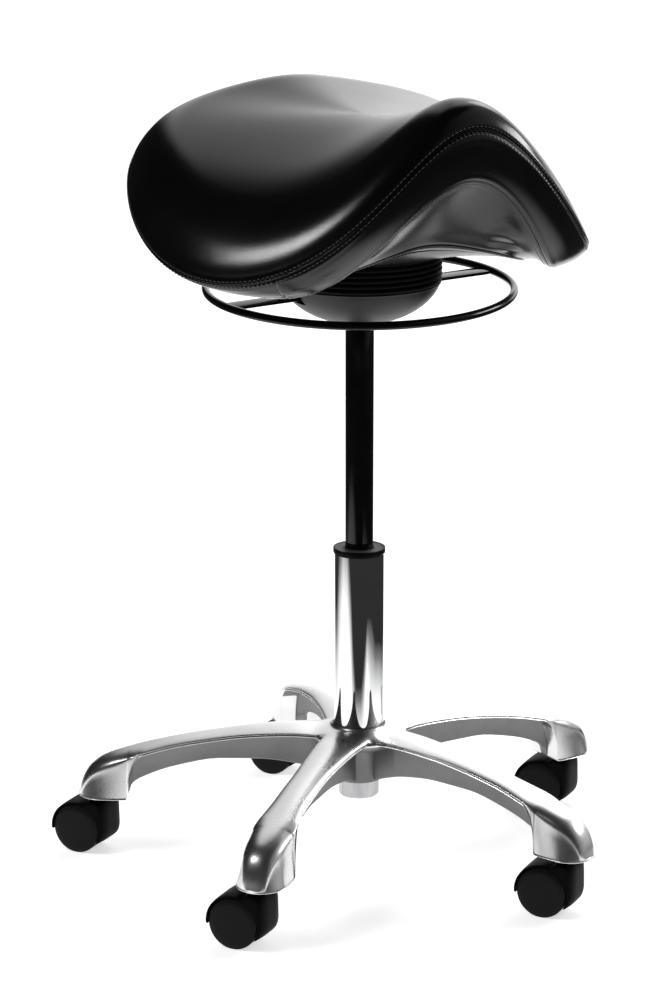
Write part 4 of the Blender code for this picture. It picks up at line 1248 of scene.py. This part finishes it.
def make_caster(az, tag):
    s = COL + Vector((STEM_R * math.cos(rad(az)), STEM_R * math.sin(rad(az)), 0.0))
    ax = s - u * TRAIL
    local = Matrix.Translation(ax) @ turn
    hood = loft("caster_hood_looks_" + tag, hood_loops(), m=local)
    for side in (-1, 1):
        lo, hi = sorted((side * 0.0060, side * 0.030))
        boolean(hood, revolve("tool", [(0.0262, lo), (0.0262, hi)], 96, False, (),
                              local @ shift((0, 0, WHEEL_R)) @ ALONG_Y), "DIFFERENCE")
    boolean(hood, revolve("tool", [(0.0033, -0.03), (0.0033, 0.03)], 24, False, (),
                          local @ shift((0, 0, WHEEL_R)) @ ALONG_Y), "DIFFERENCE")
    boolean(hood, revolve("tool", [(0.0045, 0.0300), (0.0045, 0.0700)], 32, False, (), Matrix.Translation(s)),
            "DIFFERENCE")
    hood.data.materials.clear()
    hood.data.materials.append(M_HOOD)
    smooth_by_angle(hood, 28)
    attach(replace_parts(hood, "caster_hood_" + tag), "caster_" + tag)
    stem = revolve("caster_stem_looks_" + tag, round_profile(
        [(0.0040, 0.0310), (0.0040, 0.0588), (0.0085, 0.0588), (0.0085, 0.0607), (0.0050, 0.0607), (0.0050, 0.0885)],
        0.0003, 2, False), 40, False, (M_STEEL,), Matrix.Translation(s))
    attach(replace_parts(stem, "caster_stem_" + tag), "base")
    axis = local @ shift((0, 0, WHEEL_R)) @ ALONG_Y
    for side, word in ((-1, "inner"), (1, "outer")):
        prof = [(0.0, 0.0171), (0.0034, 0.0171), (0.0034, 0.0064), (0.0236, 0.0064), (0.0250, 0.0079),
                (0.0250, 0.0186), (0.0246, 0.0192), (0.0241, 0.0194), (0.0237, 0.0193), (0.0234, 0.0195),
                (0.0180, 0.0200), (0.0110, 0.0203), (0.0050, 0.02045), (0.0, 0.0205)]
        prof = prof[:5] + round_profile(prof[4:8], 0.0004, 2, False)[1:] + prof[8:]
        wheel = revolve("wheel_%s_looks_%s" % (word, tag), [(r, side * y) for r, y in prof], 96, False,
                        (M_WHEEL, M_TREAD), axis, 30)
        inv = axis.inverted()
        for f in wheel.data.polygons:
            q = inv @ f.center
            if math.hypot(q.x, q.y) > 0.0244:
                f.material_index = 1
        node = "wheel_%s_%s" % (word, tag)
        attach(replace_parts(wheel, node), node)


for az, tag in zip(ARM_AZ, TAGS):
    make_caster(az, tag)

# ------------------------------------------------------------------ camera
PSI, DIST, HEIGHT = rad(31.5), 3.1174, 1.1888
PITCH, YAW = rad(14.717), rad(-0.467)


def to_row(v):
    x, y, z = v
    return Vector((x * math.cos(PSI) + y * math.sin(PSI), -x * math.sin(PSI) + y * math.cos(PSI), z))


fwd = to_row((math.sin(YAW) * math.cos(PITCH), math.cos(YAW) * math.cos(PITCH), -math.sin(PITCH)))
right = to_row((math.cos(YAW), -math.sin(YAW), 0.0))
up = right.cross(fwd)
cam_data = bpy.data.cameras.new("camera")
cam_data.lens = 118.08
cam_data.sensor_width = 36.0
cam_data.clip_start, cam_data.clip_end = 0.05, 100.0
camera = bpy.data.objects.new("camera", cam_data)
bpy.context.scene.collection.objects.link(camera)
camera.matrix_world = Matrix(((right.x, up.x, -fwd.x, 0), (right.y, up.y, -fwd.y, 0), (right.z, up.z, -fwd.z, 0),
                              (0, 0, 0, 1)))
camera.location = to_row((0.0, -DIST, HEIGHT)) + COL
bpy.context.scene.camera = camera

# ------------------------------------------------------------------ floor and light
def stage_material(name, rgb, emission, rough=0.6, spec=0.0):
    m = bpy.data.materials.new(name)
    m.use_nodes = True
    p = m.node_tree.nodes["Principled BSDF"]
    p.inputs["Base Color"].default_value = (*rgb, 1)
    p.inputs["Roughness"].default_value = rough
    p.inputs["Specular IOR Level"].default_value = spec
    p.inputs["Emission Color"].default_value = (1, 1, 1, 1)
    p.inputs["Emission Strength"].default_value = emission
    return m


floor = new_object("floor", [(-30, -30, 0), (30, -30, 0), (30, 30, 0), (-30, 30, 0)], [(0, 1, 2, 3)])
pale = stage_material("pale_floor", (0.92, 0.92, 0.92), FLOOR_GLOW)
ft = pale.node_tree
fc = ft.nodes.new("ShaderNodeTexCoord")
fl = ft.nodes.new("ShaderNodeVectorMath")
fl.operation = "LENGTH"
ft.links.new(fc.outputs["Object"], fl.inputs[0])
fr = ft.nodes.new("ShaderNodeMapRange")
# the floor is lit by the lamps and also glows; the glow is weaker near the stool, so the lamps' shadows show there,
# and rises to full strength 1.7 m out: painted light that keeps the floor white
fr.interpolation_type = "SMOOTHSTEP"
for k_, x_ in zip(("From Min", "From Max", "To Min", "To Max"), (0.35, 1.70, FLOOR_GLOW, 1.0)):
    fr.inputs[k_].default_value = x_
ft.links.new(fl.outputs["Value"], fr.inputs["Value"])
ft.links.new(fr.outputs["Result"], ft.nodes["Principled BSDF"].inputs["Emission Strength"])
floor.data.materials.append(pale)

# a pale backdrop dome that only the camera sees, so the floor runs into it without a horizon
rows = []
for t in np.linspace(0.0, 80.0, 9):
    rows.append([(29.0 * math.cos(rad(t)) * math.cos(q), 29.0 * math.cos(rad(t)) * math.sin(q), 29.0 * math.sin(rad(t)) - 0.5)
                 for q in np.linspace(0, 2 * math.pi, 48, endpoint=False)])
dome = grid("backdrop", rows, (stage_material("backdrop", (0, 0, 0), 1.02),), True, None, (0, 0, 28.5))
for flag in ("visible_diffuse", "visible_glossy", "visible_transmission", "visible_volume_scatter", "visible_shadow"):
    setattr(dome, flag, False)


def studio(az, dist, z):
    # a point of the studio: azimuth from straight behind the stool, clockwise to the right, as the camera sees it
    return to_row((dist * math.sin(rad(az)), dist * math.cos(rad(az)), z)) + COL


# beyond the sheet the studio floor is dark; this shows only in reflections
DARK_EDGE = [(-180, 0.36, 0.56), (-165, 0.36, 0.56), (-152, 0.40, 0.75), (-143, 0.52, 1.00), (-124, 0.70, 1.35),
             (-102, 0.75, 1.40), (-76, 0.45, 1.20), (-60, 0.40, 0.90), (-45, 0.40, 0.90), (-36, 0.50, 1.10),
             (-28, 1.00, 2.60), (-22, 6.0, 14.0), (0, 20.0, 26.0), (20, 9.0, 20.0), (27, 1.00, 2.40),
             (34, 0.42, 0.80), (50, 0.42, 0.72), (76, 0.46, 0.74), (102, 0.46, 0.74), (124, 0.42, 0.85),
             (143, 0.60, 0.85), (160, 0.38, 0.64), (170, 0.36, 0.56), (180, 0.36, 0.56)]
aa = np.arange(-180, 180, 4.0)
ra = np.interp(aa, [d[0] for d in DARK_EDGE], [d[1] for d in DARK_EDGE])
rb = np.interp(aa, [d[0] for d in DARK_EDGE], [d[2] for d in DARK_EDGE])
rings_, alphas = [], []
for t in (0.0, 0.25, 0.5, 0.75, 1.0):
    rings_.append([tuple(studio(q, r0 + (r1 - r0) * t, 0.0006)) for q, r0, r1 in zip(aa, ra, rb)])
    alphas.append(t * t * (3 - 2 * t))
rings_.append([tuple(studio(q, 28.0, 0.0006)) for q in aa])
alphas.append(1.0)
dark = grid("floor_surround", rings_, (), True)
al = dark.data.attributes.new("dark", "FLOAT", "POINT")
al.data.foreach_set("value", np.repeat(np.array(alphas), len(aa)).astype(np.float32))
dm = bpy.data.materials.new("floor_surround")
dm.use_nodes = True
dt = dm.node_tree
dp = dt.nodes["Principled BSDF"]
dp.inputs["Base Color"].default_value = (0.0, 0.0, 0.0, 1)
dp.inputs["Specular IOR Level"].default_value = 0.0
dp.inputs["Emission Color"].default_value = (1, 1, 1, 1)
dp.inputs["Emission Strength"].default_value = 0.03
da = dt.nodes.new("ShaderNodeAttribute")
da.attribute_name = "dark"
dt.links.new(da.outputs["Fac"], dp.inputs["Alpha"])
dark.data.materials.append(dm)
for flag in ("visible_camera", "visible_diffuse", "visible_transmission", "visible_volume_scatter", "visible_shadow"):
    setattr(dark, flag, False)


def softbox(name, az, dist, z, aim, width, height, radiance):
    # a rectangular soft light, hidden from the camera
    d = bpy.data.lights.new(name, "AREA")
    d.shape = "RECTANGLE"
    d.size, d.size_y = width, height
    d.energy = radiance * math.pi * width * height
    o = bpy.data.objects.new(name, d)
    bpy.context.scene.collection.objects.link(o)
    o.location = studio(az, dist, z)
    direction = (to_row(aim) + COL) - o.location
    o.rotation_mode = "QUATERNION"
    o.rotation_quaternion = direction.to_track_quat("-Z", "Y")
    o.visible_camera = False
    return o


def soft_step(t, v, a, b, lo=0.0, hi=1.0):
    n = t.nodes.new("ShaderNodeMapRange")
    n.interpolation_type = "SMOOTHSTEP"
    t.links.new(v, n.inputs["Value"])
    for k, x in zip(("From Min", "From Max", "To Min", "To Max"), (a, b, lo, hi)):
        n.inputs[k].default_value = x
    return n.outputs["Result"]


def calc(t, op, a, b):
    n = t.nodes.new("ShaderNodeMath")
    n.operation = op
    for i, v in enumerate((a, b)):
        if isinstance(v, (int, float)):
            n.inputs[i].default_value = v
        else:
            t.links.new(v, n.inputs[i])
    return n.outputs["Value"]


world = bpy.data.worlds.new("studio")
bpy.context.scene.world = world
world.use_nodes = True
wt = world.node_tree
bg = wt.nodes["Background"]
tc = wt.nodes.new("ShaderNodeTexCoord")
turn_ = wt.nodes.new("ShaderNodeVectorRotate")
turn_.rotation_type = "Z_AXIS"
turn_.inputs["Angle"].default_value = PSI
wt.links.new(tc.outputs["Generated"], turn_.inputs["Vector"])
sep = wt.nodes.new("ShaderNodeSeparateXYZ")
wt.links.new(turn_.outputs["Vector"], sep.inputs["Vector"])
deg = 180.0 / math.pi
az_ = calc(wt, "MULTIPLY", calc(wt, "ARCTAN2", sep.outputs["X"], sep.outputs["Y"]), deg)
el_ = calc(wt, "MULTIPLY", calc(wt, "ARCSINE", sep.outputs["Z"], 0.0), deg)
# the white wall behind, its left edge leaning outwards with height
lean = calc(wt, "ADD", az_, calc(wt, "MULTIPLY", el_, 0.45))
wall = calc(wt, "MULTIPLY", soft_step(wt, lean, WALL_L - 5, WALL_L + 5), soft_step(wt, az_, 50.0, 34.0))
wall = calc(wt, "MULTIPLY", wall, soft_step(wt, el_, 76.0, 56.0))
# the right side, falling off towards the camera
side = calc(wt, "MULTIPLY", soft_step(wt, az_, 36.0, 56.0), soft_step(wt, az_, 165.0, 55.0))
side = calc(wt, "MULTIPLY", side, soft_step(wt, el_, 66.0, 48.0))
bright = soft_step(wt, az_, -9.0, 6.0, 0.88, 1.60)
tot = calc(wt, "MAXIMUM", calc(wt, "MULTIPLY", wall, bright), calc(wt, "MULTIPLY", side, 0.50))
tot = calc(wt, "MAXIMUM", tot, 0.015)
wt.links.new(tot, bg.inputs["Strength"])
bg.inputs["Color"].default_value = (1, 1, 1, 1)

softbox("box_left_front", -117, 1.60, 1.84, (0, 0, 0.70), 0.36, 0.20, 22.0)
floor_light = softbox("floor_light", -104, 2.3, 2.3, (0, 0, 0.0), 2.0, 2.0, 3.4)
floor_light.visible_glossy = False
softbox("box_back_right", 32, 2.2, 2.35, (0, 0, 0.6), 0.9, 1.1, 2.6)
softbox("box_right", 77, 1.45, 1.03, (0, 0, 0.76), 0.75, 0.36, 10.0)

sc = bpy.context.scene
sc.view_settings.view_transform = "Standard"
sc.view_settings.look = "None"
sc.view_settings.exposure = 0.0
sc.view_settings.gamma = 1.0
